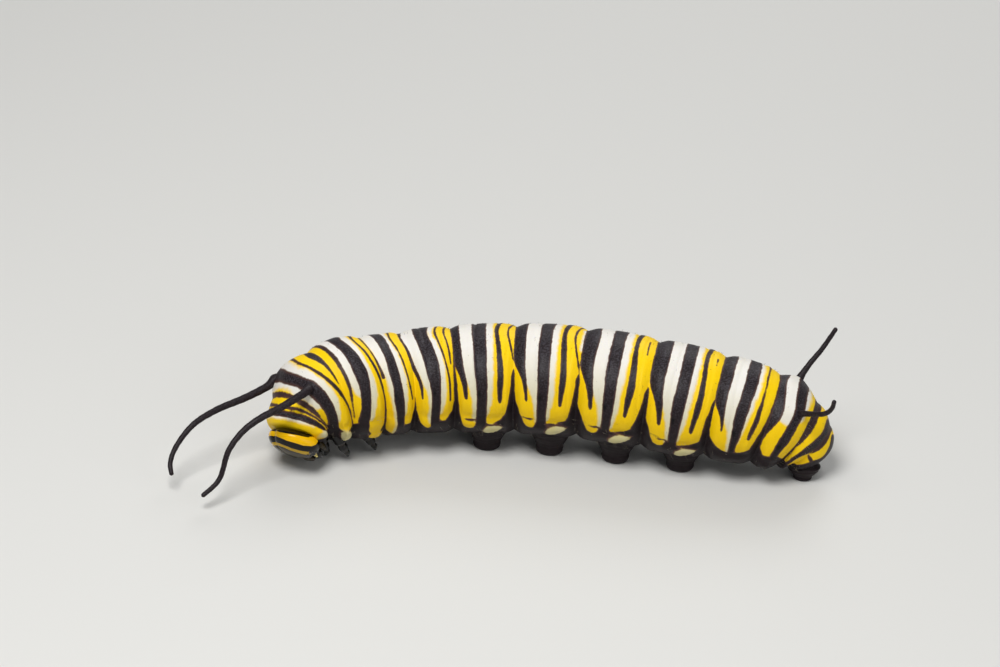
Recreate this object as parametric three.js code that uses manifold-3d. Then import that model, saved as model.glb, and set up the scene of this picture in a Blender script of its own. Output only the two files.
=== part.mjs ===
// A full-grown larva of the monarch butterfly, walking, with its front turned to its left.
// Millimetres, +Z up, the head toward -X, all feet on the plane z = 0.
import * as THREE from "three";
import { mergeVertices } from "three/addons/utils/BufferGeometryUtils.js";
import Module from "manifold-3d";

const wasm = await Module();
wasm.setup();

// The body segments from the head back: length along the body, half width, height above and below
// the body's line, and heading in degrees: yaw to the animal's left, pitch up, back rolled to the left.
const segments = [
  { name: "thorax_1", length: 1.3, halfWidth: 2.3, above: 2.1, below: 1.7, yaw: 66, pitch: -38, roll: -20 },
  { name: "thorax_2", length: 2.4, halfWidth: 3.35, above: 3.6, below: 2.6, yaw: 42, pitch: -15, roll: -11 },
  { name: "thorax_3", length: 3.2, halfWidth: 3.8, above: 3.85, below: 3.2, yaw: 30, pitch: -2, roll: -7 },
  { name: "abdomen_1", length: 2.7, halfWidth: 3.8, above: 3.4, below: 3.4, yaw: 20, pitch: -1, roll: -4 },
  { name: "abdomen_2", length: 3.3, halfWidth: 3.85, above: 3.6, below: 3.5, yaw: 10, pitch: -2, roll: -3 },
  { name: "abdomen_3", length: 4.5, halfWidth: 4, above: 3.75, below: 3.6, yaw: 2, pitch: -3, roll: -1 },
  { name: "abdomen_4", length: 4.7, halfWidth: 4.1, above: 3.85, below: 3.6, yaw: -5, pitch: -3, roll: 2 },
  { name: "abdomen_5", length: 4.8, halfWidth: 4.05, above: 3.9, below: 3.6, yaw: -8, pitch: 3, roll: 4 },
  { name: "abdomen_6", length: 4.6, halfWidth: 4, above: 3.9, below: 3.5, yaw: -8, pitch: 4, roll: 5 },
  { name: "abdomen_7", length: 3.5, halfWidth: 3.75, above: 3.82, below: 3.1, yaw: -9, pitch: 8, roll: 6 },
  { name: "abdomen_8", length: 2.3, halfWidth: 3.4, above: 3.72, below: 2.6, yaw: -4, pitch: 20, roll: 8 },
  { name: "abdomen_9", length: 1.1, halfWidth: 2.7, above: 2.82, below: 2, yaw: -6, pitch: 38, roll: 10 },
  { name: "abdomen_10", length: 1.4, halfWidth: 2.1, above: 2, below: 1.3, yaw: -7, pitch: 58, roll: 11 },
];
const anchorSegment = "abdomen_4"; // its middle is placed, and the rest of the body follows from it
const anchorCentre = new THREE.Vector3(2.85, 4.13, 4.65);

const gap = 0.3; // between a piece and its neighbour
const bodySides = 32; // points round a body ring
const rowShares = [0, 0.1, 0.28, 0.5, 0.72, 0.9, 1]; // rings of a segment, as shares of its length
const shortRowShares = [0, 0.2, 0.5, 0.8, 1];
const shortSegment = 1.35; // up to this length a segment has the fewer rings
const foldReach = 0.42; // how far a fold between segments rounds the skin off
const foldDepthTop = 0.035; // depth of that fold on the back, as a share of the radius
const foldDepthSide = 0.075; // what it adds on the flanks
const lobeHeight = 0.22; // the swelling below each spiracle
const tailRound = 1.15; // length over which the last segment rounds in
const neckRound = 0.5; // length over which the first segment rounds in
const bellyPower = 0.8; // under 1 flattens the belly

const head = {
  halfWidth: 1.96,
  crown: 2.1, // from the widest plane's centre up to the vertex
  chin: 1.4, // and down to the mouth
  face: 1.09, // forward to the frons
  nape: 0.72, // back to the neck
  yaw: 70,
  pitch: -49,
  roll: -42, // the neck twists the crown over to the animal's right
  ahead: 0.46, // from the front of the first segment to the centre
  aside: 0.4, // and to the left, as the head turns a little
  rise: -0.3, // and toward the crown
  sides: 32,
  rows: 15,
};

const colours = {
  yellow: 0xf2cc0c,
  white: 0xe9e4da,
  black: 0x2b2328,
  headBlack: 0x151214,
  amber: 0xa8892a,
};

const radians = THREE.MathUtils.degToRad;

const edges = [0];
for (const segment of segments) edges.push(edges.at(-1) + segment.length);
const middles = segments.map((segment, i) => (edges[i] + edges[i + 1]) / 2);
const bodyLength = edges.at(-1);

// A value of the segment list at a distance along the body, even between the segments' middles.
function valueAt(key, along) {
  const last = segments.length - 1;
  if (along <= middles[0]) return segments[0][key];
  if (along >= middles[last]) return segments[last][key];
  const i = middles.findIndex((middle) => middle > along);
  const share = (along - middles[i - 1]) / (middles[i] - middles[i - 1]);
  return THREE.MathUtils.lerp(segments[i - 1][key], segments[i][key], share);
}

function heading(yaw, pitch) {
  const level = Math.cos(radians(pitch));
  return new THREE.Vector3(
    -Math.cos(radians(yaw)) * level,
    -Math.sin(radians(yaw)) * level,
    Math.sin(radians(pitch)),
  );
}

// Forward, up and left of a piece that heads one way with its back rolled over.
function axesOf(yaw, pitch, roll) {
  const forward = heading(yaw, pitch);
  const upright = new THREE.Vector3(0, 0, 1).addScaledVector(forward, -forward.z).normalize();
  const level = new THREE.Vector3().crossVectors(upright, forward);
  const up = upright.multiplyScalar(Math.cos(radians(roll))).addScaledVector(level, Math.sin(radians(roll)));
  const left = new THREE.Vector3().crossVectors(up, forward);
  return { forward, up, left };
}

// The body's line, stepped back from the head along the headings.
const lineStep = 0.05;
const line = [new THREE.Vector3()];
for (let along = lineStep; along < bodyLength + lineStep; along += lineStep) {
  const here = along - lineStep / 2;
  const forward = heading(valueAt("yaw", here), valueAt("pitch", here));
  line.push(line.at(-1).clone().addScaledVector(forward, -lineStep));
}

function linePoint(along) {
  const place = THREE.MathUtils.clamp(along / lineStep, 0, line.length - 1.001);
  const i = Math.floor(place);
  return line[i].clone().lerp(line[i + 1], place - i);
}

const anchorIndex = segments.findIndex((segment) => segment.name === anchorSegment);
const shift = anchorCentre.clone().sub(linePoint(middles[anchorIndex]));
line.forEach((point) => point.add(shift));

function bodyFrame(along) {
  const axes = axesOf(valueAt("yaw", along), valueAt("pitch", along), valueAt("roll", along));
  return { centre: linePoint(along), ...axes };
}

const bell = (value, width) => Math.exp(-((value / width) ** 2));

// A point of the skin: how far along the body, and the angle round it from the back to the left.
function skinPoint(along, angle, outward = 0) {
  const frame = bodyFrame(along);
  const inside = THREE.MathUtils.clamp(along, 0, bodyLength - 1e-6);
  const i = edges.findIndex((edge) => edge > inside) - 1;
  const fold = Math.min(
    i > 0 ? inside - edges[i] : Infinity,
    i < segments.length - 1 ? edges[i + 1] - inside : Infinity,
  );
  const side = Math.sin(angle) ** 2;
  let size = 1 - (foldDepthTop + foldDepthSide * side) * bell(fold, foldReach);
  const fromTail = Math.max(0, along - (bodyLength - tailRound)) / tailRound;
  size *= Math.sqrt(1 - 0.94 * Math.min(1, fromTail) ** 2.4);
  const fromNeck = Math.max(0, neckRound - along) / neckRound;
  size *= 1 - 0.14 * fromNeck ** 2;
  const wrapped = Math.abs(THREE.MathUtils.euclideanModulo(angle + Math.PI, 2 * Math.PI) - Math.PI);
  const share = (inside - edges[i]) / segments[i].length;
  const lobe = lobeHeight * bell(wrapped - radians(108), 0.3) * bell(share - 0.42, 0.3);
  const reach = outward + lobe;
  const across = (valueAt("halfWidth", along) * size + reach) * Math.sin(angle);
  const c = Math.cos(angle);
  const height =
    c >= 0
      ? (valueAt("above", along) * size + reach) * c
      : -(valueAt("below", along) * size + outward) * Math.abs(c) ** bellyPower;
  return frame.centre.addScaledVector(frame.left, across).addScaledVector(frame.up, height);
}

// A closed surface through rings of points, with a fan on each end, its faces turned outward.
function loft(rings) {
  const sides = rings[0].length;
  const points = rings.flat();
  const middleOf = (ring) => ring.reduce((sum, p) => sum.add(p), new THREE.Vector3()).divideScalar(sides);
  const first = points.push(middleOf(rings[0])) - 1;
  const last = points.push(middleOf(rings.at(-1))) - 1;
  const lastRow = (rings.length - 1) * sides;
  const index = [];
  for (let j = 0; j < sides; j++) {
    const k = (j + 1) % sides;
    for (let row = 0; row < lastRow; row += sides)
      index.push(row + j, row + k, row + sides + k, row + j, row + sides + k, row + sides + j);
    index.push(first, k, j, last, lastRow + j, lastRow + k);
  }
  let volume = 0;
  for (let n = 0; n < index.length; n += 3) {
    const [a, b, c] = [points[index[n]], points[index[n + 1]], points[index[n + 2]]];
    volume += a.dot(b.clone().cross(c));
  }
  if (volume < 0) index.reverse();
  const geometry = new THREE.BufferGeometry().setFromPoints(points);
  geometry.setIndex(index);
  return geometry;
}

function solidOf(geometry) {
  const bare = geometry.clone();
  bare.deleteAttribute("normal");
  bare.deleteAttribute("uv");
  const merged = mergeVertices(bare, 1e-4);
  return new wasm.Manifold(
    new wasm.Mesh({
      numProp: 3,
      vertProperties: merged.attributes.position.array,
      triVerts: new Uint32Array(merged.index.array),
    }),
  );
}

// The largest closed surface of a solid, as a geometry.
function geometryOf(solid) {
  const bodies = solid.decompose().sort((a, b) => b.volume() - a.volume());
  const mesh = bodies[0].getMesh();
  const geometry = new THREE.BufferGeometry();
  geometry.setAttribute("position", new THREE.BufferAttribute(mesh.vertProperties, 3));
  geometry.setIndex(new THREE.BufferAttribute(mesh.triVerts, 1));
  return geometry;
}

function ringOf(sides, pointAt) {
  return Array.from({ length: sides }, (_, j) => pointAt((2 * Math.PI * j) / sides));
}

// A tube along a smooth curve through a few points. Each station has its share of the way and its radius.
function tube(points, stations, sides) {
  const curve = new THREE.CatmullRomCurve3(points, false, "centripetal");
  let across = null;
  const rings = stations.map(([share, radius]) => {
    const centre = curve.getPointAt(share);
    const along = curve.getTangentAt(share);
    const start = across ?? new THREE.Vector3(0, 0, 1).cross(along);
    across = start.addScaledVector(along, -start.dot(along)).normalize();
    const other = new THREE.Vector3().crossVectors(along, across);
    const hold = across.clone();
    return ringOf(sides, (turn) =>
      centre
        .clone()
        .addScaledVector(hold, radius * Math.cos(turn))
        .addScaledVector(other, radius * Math.sin(turn)),
    );
  });
  return loft(rings);
}

function bodyGeometry(from, to, shares, outward = 0) {
  return loft(
    shares.map((share) =>
      ringOf(bodySides, (angle) => skinPoint(THREE.MathUtils.lerp(from, to, share), angle, outward)),
    ),
  );
}

// The room that a segment and the gap round it take, which the legs and horns on it are cut clear of.
function segmentRoom(i) {
  const from = Math.max(0, edges[i] - 0.6);
  const to = Math.min(bodyLength, edges[i + 1] + 0.6);
  return solidOf(bodyGeometry(from, to, rowShares, gap));
}

const indexOf = (name) => segments.findIndex((segment) => segment.name === name);

const materials = Object.fromEntries(
  Object.entries(colours).map(([name, color]) => [
    name,
    new THREE.MeshStandardMaterial({ color, roughness: name === "headBlack" ? 0.25 : 0.5, metalness: 0 }),
  ]),
);

const group = new THREE.Group();

function addMesh(name, geometry, material) {
  geometry.computeVertexNormals();
  const mesh = new THREE.Mesh(geometry, material);
  mesh.name = name;
  group.add(mesh);
}

// Head: two round lobes that meet in a groove over the crown, with the frons sunk between them.
const headStart = bodyFrame(0);
const headAxes = axesOf(head.yaw, head.pitch, head.roll);
const headCentre = headStart.centre
  .clone()
  .addScaledVector(headAxes.forward, head.ahead)
  .addScaledVector(headAxes.left, head.aside)
  .addScaledVector(headAxes.up, head.rise);

// A place in the head's own axes: forward out of the face, up to the crown, to the animal's left.
function headPlace(forward, up, left) {
  return headCentre
    .clone()
    .addScaledVector(headAxes.forward, forward)
    .addScaledVector(headAxes.up, up)
    .addScaledVector(headAxes.left, left);
}

function headPoint(polar, around, outward = 0) {
  const spread = Math.sin(polar) ** 0.82;
  const aside = Math.abs(THREE.MathUtils.euclideanModulo(around + Math.PI, 2 * Math.PI) - Math.PI);
  const onCrown = bell(polar - 1.25, 0.75);
  const size = 1 - 0.08 * bell(aside, 0.13) * onCrown + 0.03 * bell(aside - 0.7, 0.5);
  const left = (head.halfWidth + outward) * spread * size * Math.sin(around);
  const c = Math.cos(around);
  const up = ((c > 0 ? head.crown : head.chin) + outward) * spread * size * c;
  const depth = Math.cos(polar);
  let forward = ((depth > 0 ? head.face : head.nape) + outward) * depth;
  const triangle = 0.62 * THREE.MathUtils.clamp((0.45 - up) / 1.3, 0, 1) - Math.abs(left);
  if (depth > 0) forward -= 0.09 * THREE.MathUtils.smoothstep(triangle, -0.12, 0.12);
  return headPlace(forward, up, left);
}

function headGeometry(outward) {
  const rings = [];
  for (let row = 0; row < head.rows; row++) {
    const polar = THREE.MathUtils.lerp(0.1, Math.PI - 0.1, row / (head.rows - 1));
    rings.push(ringOf(head.sides, (around) => headPoint(polar, around, outward)));
  }
  return loft(rings);
}

function ellipsoid(centre, axes, sizes, rows = 7, sides = 12) {
  const rings = [];
  for (let row = 0; row < rows; row++) {
    const polar = THREE.MathUtils.lerp(0.2, Math.PI - 0.2, row / (rows - 1));
    rings.push(
      ringOf(sides, (turn) =>
        centre
          .clone()
          .addScaledVector(axes.forward, sizes[0] * Math.cos(polar))
          .addScaledVector(axes.up, sizes[1] * Math.sin(polar) * Math.cos(turn))
          .addScaledVector(axes.left, sizes[2] * Math.sin(polar) * Math.sin(turn)),
      ),
    );
  }
  return solidOf(loft(rings));
}

// Six simple eyes on each cheek, five in an arc and one below them, as shallow domes.
const stemma = { radius: 0.16, arcRadius: 0.42, arcPolar: 1.02, arcAround: 2.02 };
function stemmaPlaces(side) {
  const places = [-1.5, -0.75, 0, 0.75, 1.5].map((turn) => [
    stemma.arcPolar - (stemma.arcRadius * Math.cos(turn)) / head.face,
    side * (stemma.arcAround + (stemma.arcRadius * Math.sin(turn)) / head.halfWidth),
  ]);
  places.push([stemma.arcPolar + 0.12, side * (stemma.arcAround + 0.12)]);
  return places;
}

let headSolid = solidOf(headGeometry(0));
for (const side of [1, -1])
  for (const [polar, around] of stemmaPlaces(side))
    headSolid = headSolid.add(
      ellipsoid(headPoint(polar, around, -0.06), headAxes, Array(3).fill(stemma.radius), 5, 8),
    );
addMesh("head", geometryOf(headSolid), materials.headBlack);
const headRoom = solidOf(headGeometry(gap));

// Mouthparts under the face: notched upper lip, jaws, feelers, and the lower lip with its silk spout.
const neckRoom = segmentRoom(0);
function clearOfHead(solid) {
  return geometryOf(solid.subtract(headRoom).subtract(neckRoom));
}

const lip = { forward: 0.86, up: -1.34, reach: 0.28, height: 0.4, halfWidth: 0.36 };
const lipHalf = (side) =>
  ellipsoid(headPlace(lip.forward, lip.up, side * lip.halfWidth * 0.72), headAxes, [
    lip.reach,
    lip.height,
    lip.halfWidth,
  ]);
addMesh("labrum", clearOfHead(lipHalf(1).add(lipHalf(-1))), materials.amber);

for (const [sideName, side] of [
  ["left", 1],
  ["right", -1],
]) {
  addMesh(
    "mandible_" + sideName,
    clearOfHead(ellipsoid(headPlace(0.36, -1.52, side * 0.5), headAxes, [0.36, 0.5, 0.34])),
    materials.headBlack,
  );
  addMesh(
    "maxilla_" + sideName,
    clearOfHead(
      solidOf(
        tube(
          [headPlace(-0.3, -1, side * 0.72), headPlace(-0.2, -1.5, side * 0.72), headPlace(-0.05, -1.9, side * 0.58)],
          [
            [0, 0.3],
            [0.5, 0.28],
            [0.56, 0.23],
            [0.85, 0.2],
            [1, 0.1],
          ],
          10,
        ),
      ),
    ),
    materials.amber,
  );
  addMesh(
    "antenna_" + sideName,
    clearOfHead(
      solidOf(
        tube(
          [headPlace(0.4, -0.7, side * 1.1), headPlace(0.62, -1.1, side * 1.28), headPlace(0.8, -1.4, side * 1.3)],
          [
            [0, 0.28],
            [0.55, 0.26],
            [0.6, 0.21],
            [0.85, 0.19],
            [1, 0.09],
          ],
          10,
        ),
      ),
    ),
    materials.amber,
  );
}
addMesh(
  "labium",
  clearOfHead(
    solidOf(
      tube(
        [headPlace(-0.3, -1, 0), headPlace(-0.25, -1.5, 0), headPlace(-0.1, -1.95, 0)],
        [
          [0, 0.3],
          [0.5, 0.27],
          [0.62, 0.18],
          [1, 0.08],
        ],
        10,
      ),
    ),
  ),
  materials.amber,
);

// Body segments, each a ring that swells between its folds.
segments.forEach((segment, i) => {
  const from = i === 0 ? 0 : edges[i] + gap / 2;
  const to = i === segments.length - 1 ? bodyLength : edges[i + 1] - gap / 2;
  const shares = segment.length > shortSegment ? rowShares : shortRowShares;
  const geometry = bodyGeometry(from, to, shares);
  const clear = i === 0 ? geometryOf(solidOf(geometry).subtract(headRoom)) : geometry;
  addMesh(segment.name, clear, i % 2 ? materials.yellow : materials.white);
});

// Black soft horns in two pairs: points from the root out, in millimetres from the root on the skin.
const horns = [
  {
    name: "filament_front_left",
    segment: "thorax_2",
    share: 0.27,
    angle: 36,
    way: [
      [-0.44, -0.9, 0.11],
      [-1.82, -2.05, -0.35],
      [-3.21, -3, -0.79],
      [-4.24, -3.75, -1.41],
      [-5.1, -4.65, -2.44],
      [-5.65, -5.6, -4.24],
      [-6.72, -6.6, -5.04],
    ],
    root: 0.3,
    tip: 0.16,
    rings: 22,
  },
  {
    name: "filament_front_right",
    segment: "thorax_2",
    share: 0.28,
    angle: -39,
    way: [
      [-0.5, -0.58, -0.24],
      [-1.87, -1.67, -0.59],
      [-3.96, -3.22, -0.92],
      [-5.39, -4.53, -1.42],
      [-6.44, -5.73, -2.6],
      [-6.69, -6.53, -3.33],
      [-6.51, -7.23, -3.89],
    ],
    root: 0.3,
    tip: 0.16,
    rings: 22,
  },
  {
    name: "filament_rear_left",
    segment: "abdomen_8",
    share: 0.62,
    angle: 31,
    way: [
      [0.51, -0.68, 0.46],
      [0.98, -1.18, 0.76],
      [1.62, -1.73, 1.19],
      [2, -2.13, 1.84],
      [2.11, -2.43, 2.68],
    ],
    root: 0.22,
    tip: 0.155,
    rings: 11,
  },
  {
    name: "filament_rear_right",
    segment: "abdomen_8",
    share: 0.5,
    angle: -36,
    way: [
      [0.7, 0.73, 0.9],
      [1.45, 1.23, 1.79],
      [2.41, 1.83, 3.29],
    ],
    root: 0.23,
    tip: 0.155,
    rings: 9,
  },
];

for (const horn of horns) {
  const i = indexOf(horn.segment);
  const along = THREE.MathUtils.lerp(edges[i], edges[i + 1], horn.share);
  const onSkin = skinPoint(along, radians(horn.angle));
  const inside = skinPoint(along, radians(horn.angle), -0.7);
  const points = [inside, onSkin, ...horn.way.map((offset) => onSkin.clone().add(new THREE.Vector3(...offset)))];
  const stations = [];
  for (let ring = 0; ring < horn.rings; ring++) {
    const share = (0.985 * ring) / (horn.rings - 1);
    stations.push([share, THREE.MathUtils.lerp(horn.root, horn.tip, share)]);
  }
  stations.push([1, horn.tip * 0.45]);
  const solid = solidOf(tube(points, stations, 8)).subtract(segmentRoom(i));
  addMesh(horn.name, geometryOf(solid), materials.black);
}

const ground = [[0, 0, 1], 0]; // what a foot is cut flat by

// Three pairs of jointed legs: hips on the belly, a knee out to the side, and a claw turned in.
const legs = [
  { segment: "thorax_1", share: 0.8, hip: 148, aside: 1.35, behind: 1.35 },
  { segment: "thorax_2", share: 0.6, hip: 145, aside: 2.05, behind: 1.4 },
  { segment: "thorax_3", share: 0.6, hip: 143, aside: 1.95, behind: 1.1 },
];
const legStations = [
  [0, 0.52],
  [0.3, 0.46],
  [0.34, 0.36],
  [0.42, 0.42],
  [0.58, 0.36],
  [0.62, 0.28],
  [0.7, 0.33],
  [0.82, 0.26],
  [0.86, 0.2],
  [0.93, 0.22],
  [1, 0.14],
];

legs.forEach((leg, n) => {
  const i = indexOf(leg.segment);
  const along = THREE.MathUtils.lerp(edges[i], edges[i + 1], leg.share);
  const frame = bodyFrame(along);
  const level = frame.forward.clone().setZ(0).normalize();
  const outward = new THREE.Vector3(level.y, -level.x, 0).negate();
  for (const [sideName, side] of [
    ["left", 1],
    ["right", -1],
  ]) {
    const place = (aside, behind, z) =>
      frame.centre.clone().addScaledVector(outward, side * aside).addScaledVector(level, -behind).setZ(z);
    const hip = skinPoint(along, side * radians(leg.hip), -0.5);
    const points = [
      hip,
      place(leg.aside + 0.3, leg.behind * 0.45, Math.max(0.9, hip.z * 0.6)),
      place(leg.aside + 0.25, leg.behind * 0.8, 0.6),
      place(leg.aside - 0.05, leg.behind, 0.02),
    ];
    const solid = solidOf(tube(points, legStations, 10)).subtract(segmentRoom(i)).trimByPlane(...ground);
    addMesh("leg_" + (n + 1) + "_" + sideName, geometryOf(solid), materials.headBlack);
  }
});

// Soft legs: a stout cone under the flank that narrows at the ankle and spreads into a flat sole.
const softLegRings = [
  // share of the height from hip to sole, half length along the body, half width across it
  [0, 1.75, 1.35],
  [0.3, 1.55, 1.2],
  [0.55, 1.2, 0.95],
  [0.75, 0.95, 0.72],
  [0.88, 0.98, 0.76],
  [1, 0.82, 0.62],
];
const softLegs = [
  { segment: "abdomen_3", share: 0.6, hip: 1.7, foot: 1.95, size: 1 },
  { segment: "abdomen_4", share: 0.6, hip: 1.7, foot: 1.95, size: 1 },
  { segment: "abdomen_5", share: 0.6, hip: 1.7, foot: 1.95, size: 1 },
  { segment: "abdomen_6", share: 0.58, hip: 1.7, foot: 1.9, size: 1 },
  { segment: "abdomen_10", share: 0.2, hip: 1, foot: 1.25, size: 0.85 },
];

for (const leg of softLegs) {
  const i = indexOf(leg.segment);
  const along = THREE.MathUtils.lerp(edges[i], edges[i + 1], leg.share);
  const frame = bodyFrame(along);
  const level = frame.forward.clone().setZ(0).normalize();
  const outward = new THREE.Vector3(level.y, -level.x, 0).negate();
  for (const [sideName, side] of [
    ["left", 1],
    ["right", -1],
  ]) {
    const top = frame.centre.z * 0.55;
    const rings = softLegRings.map(([share, halfLength, halfWidth]) => {
      const aside = THREE.MathUtils.lerp(leg.hip, leg.foot, share);
      const centre = frame.centre.clone().addScaledVector(outward, side * aside).setZ(top * (1 - share));
      return ringOf(16, (turn) =>
        centre
          .clone()
          .addScaledVector(level, leg.size * halfLength * Math.cos(turn))
          .addScaledVector(outward, leg.size * halfWidth * Math.sin(turn)),
      );
    });
    let solid = solidOf(loft(rings)).subtract(segmentRoom(i));
    if (leg.segment === "abdomen_10") solid = solid.subtract(segmentRoom(i - 1));
    const number = leg.segment.split("_")[1];
    addMesh("proleg_" + number + "_" + sideName, geometryOf(solid), materials.black);
  }
}

export default group;
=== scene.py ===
import math

import bpy
import numpy as np
from mathutils import Matrix, Vector


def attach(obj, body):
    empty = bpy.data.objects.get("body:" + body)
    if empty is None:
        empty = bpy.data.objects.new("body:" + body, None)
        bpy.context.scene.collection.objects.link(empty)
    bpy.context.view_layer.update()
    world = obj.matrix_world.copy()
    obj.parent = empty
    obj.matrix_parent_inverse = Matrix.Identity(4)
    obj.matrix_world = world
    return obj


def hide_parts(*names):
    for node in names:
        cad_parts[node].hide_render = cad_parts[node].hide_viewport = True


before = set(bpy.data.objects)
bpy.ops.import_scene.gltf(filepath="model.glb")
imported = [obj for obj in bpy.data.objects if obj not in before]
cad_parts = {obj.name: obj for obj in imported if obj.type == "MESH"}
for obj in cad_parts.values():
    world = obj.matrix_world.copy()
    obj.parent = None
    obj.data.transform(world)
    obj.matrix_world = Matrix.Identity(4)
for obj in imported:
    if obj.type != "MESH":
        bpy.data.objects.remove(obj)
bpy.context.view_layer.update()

# A full-grown larva of the monarch butterfly. Sizes in the dictionaries are millimetres,
# angles degrees, and shares go from 0 to 1; the meshes themselves are in metres.
mm = 0.001
draw = np.random.default_rng(31)

# the body from the head back, as the solids have it:
# name, length, half width, height above and below the body's line, yaw, pitch, roll
bodyTable = [
    ("thorax_1", 1.3, 2.3, 2.1, 1.7, 66, -38, -20),
    ("thorax_2", 2.4, 3.35, 3.6, 2.6, 42, -15, -11),
    ("thorax_3", 3.2, 3.8, 3.85, 3.2, 30, -2, -7),
    ("abdomen_1", 2.7, 3.8, 3.4, 3.4, 20, -1, -4),
    ("abdomen_2", 3.3, 3.85, 3.6, 3.5, 10, -2, -3),
    ("abdomen_3", 4.5, 4, 3.75, 3.6, 2, -3, -1),
    ("abdomen_4", 4.7, 4.1, 3.85, 3.6, -5, -3, 2),
    ("abdomen_5", 4.8, 4.05, 3.9, 3.6, -8, 3, 4),
    ("abdomen_6", 4.6, 4, 3.9, 3.5, -8, 4, 5),
    ("abdomen_7", 3.5, 3.75, 3.82, 3.1, -9, 8, 6),
    ("abdomen_8", 2.3, 3.4, 3.72, 2.6, -4, 20, 8),
    ("abdomen_9", 1.1, 2.7, 2.82, 2, -6, 38, 10),
    ("abdomen_10", 1.4, 2.1, 2, 1.3, -7, 58, 11),
]
segmentNames = [row[0] for row in bodyTable]
columnOf = {"halfWidth": 2, "above": 3, "below": 4, "yaw": 5, "pitch": 6, "roll": 7}

body = {
    "anchorSegment": "abdomen_4",
    "anchorCentre": (2.85, 4.13, 4.65),
    "lineStep": 0.05,
    "foldReach": 0.42,
    "foldDepthTop": 0.035,
    "foldDepthSide": 0.075,
    "lobeHeight": 0.22,
    "tailRound": 1.15,
    "neckRound": 0.5,
    "neckTaper": 0.14,
    "bellyPower": 0.8,
    "lobeAngle": 108,
    "lobeShare": 0.42,
    "lobeWidth": 0.3,  # both in radians round the body and as a share of the segment
}

edges = np.concatenate([[0], np.cumsum([row[1] for row in bodyTable])])
middles = (edges[1:] + edges[:-1]) / 2
lengths = np.diff(edges)
bodyLength = edges[-1]


def bell(value, width):
    return np.exp(-((value / width) ** 2))


def valueAt(key, along):
    return np.interp(along, middles, [row[columnOf[key]] for row in bodyTable])


def heading(yaw, pitch):
    turn, lift = np.radians(yaw), np.radians(pitch)
    return np.stack([-np.cos(turn) * np.cos(lift), -np.sin(turn) * np.cos(lift), np.sin(lift)], -1)


def axesOf(yaw, pitch, roll):
    # forward, up and left of a piece that heads one way with its back rolled over
    forward = heading(yaw, pitch)
    upright = np.array([0, 0, 1.0]) - forward * forward[..., 2:3]
    upright /= np.linalg.norm(upright, axis=-1, keepdims=True)
    level = np.cross(upright, forward)
    lean = np.radians(roll)[..., None]
    up = upright * np.cos(lean) + level * np.sin(lean)
    return forward, up, np.cross(up, forward)


lineAlong = np.arange(0, bodyLength + 2 * body["lineStep"], body["lineStep"])
lineMiddles = lineAlong[1:] - body["lineStep"] / 2
lineSteps = -body["lineStep"] * heading(valueAt("yaw", lineMiddles), valueAt("pitch", lineMiddles))
bodyLine = np.vstack([[0, 0, 0], np.cumsum(lineSteps, 0)])


def linePoint(along):
    return np.stack([np.interp(along, lineAlong, bodyLine[:, axis]) for axis in range(3)], -1)


anchorAlong = middles[segmentNames.index(body["anchorSegment"])]
bodyLine += np.array(body["anchorCentre"]) - linePoint(anchorAlong)


def bodyAxes(along):
    return axesOf(valueAt("yaw", along), valueAt("pitch", along), valueAt("roll", along))


def segmentAt(along):
    # which segment, the share of its length, and the distance to the nearest fold
    inside = np.clip(along, 0, bodyLength - 1e-6)
    index = np.clip(np.searchsorted(edges, inside, side="right") - 1, 0, len(lengths) - 1)
    share = (inside - edges[index]) / lengths[index]
    front = np.where(index > 0, inside - edges[index], 99)
    rear = np.where(index < len(lengths) - 1, edges[index + 1] - inside, 99)
    return index, share, np.minimum(front, rear)


def skinPoint(along, angle, outward=0.0):
    # a place on the skin, by the way along the body and the angle round it from back to left
    _, up, left = bodyAxes(along)
    _, share, fold = segmentAt(along)
    side = np.sin(angle) ** 2
    size = 1 - (body["foldDepthTop"] + body["foldDepthSide"] * side) * bell(fold, body["foldReach"])
    fromTail = np.maximum(0, along - (bodyLength - body["tailRound"])) / body["tailRound"]
    size = size * np.sqrt(1 - 0.94 * np.minimum(1, fromTail) ** 2.4)
    fromNeck = np.maximum(0, body["neckRound"] - along) / body["neckRound"]
    size = size * (1 - body["neckTaper"] * fromNeck**2)
    aroundLobe = bell(np.abs(angle) - math.radians(body["lobeAngle"]), body["lobeWidth"])
    lobe = body["lobeHeight"] * aroundLobe * bell(share - body["lobeShare"], body["lobeWidth"])
    across = (valueAt("halfWidth", along) * size + outward + lobe) * np.sin(angle)
    c = np.cos(angle)
    top = (valueAt("above", along) * size + outward + lobe) * c
    bottom = -(valueAt("below", along) * size + outward) * np.abs(c) ** body["bellyPower"]
    height = np.where(c >= 0, top, bottom)
    return linePoint(along) + left * across[..., None] + up * height[..., None]


def toLinear(hexColour):
    parts = [int(hexColour[i : i + 2], 16) / 255 for i in (1, 3, 5)]
    turned = [p / 12.92 if p <= 0.04045 else ((p + 0.055) / 1.055) ** 2.4 for p in parts]
    return (*turned, 1)


def addNode(tree, kind, inputs=None, output=0, **settings):
    # one node: each input is a value, a hex colour or a socket to link; gives back one output
    node = tree.nodes.new("ShaderNode" + kind)
    for key, value in settings.items():
        setattr(node, key, value)
    for key, value in (inputs or {}).items():
        if isinstance(value, bpy.types.NodeSocket):
            tree.links.new(value, node.inputs[key])
        else:
            node.inputs[key].default_value = toLinear(value) if isinstance(value, str) else value
    return node.outputs[output]


# a Mix node of colours takes its share at input 0 and its colours at 6 and 7, and gives output 2
ofColours = {"output": 2, "data_type": "RGBA"}
smoothly = {"interpolation_type": "SMOOTHSTEP"}


def newMaterial(name, values):
    material = bpy.data.materials.new(name)
    material.use_nodes = True
    shader = material.node_tree.nodes["Principled BSDF"]
    for key, value in values.items():
        shader.inputs[key].default_value = value
    return material, material.node_tree, shader


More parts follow.
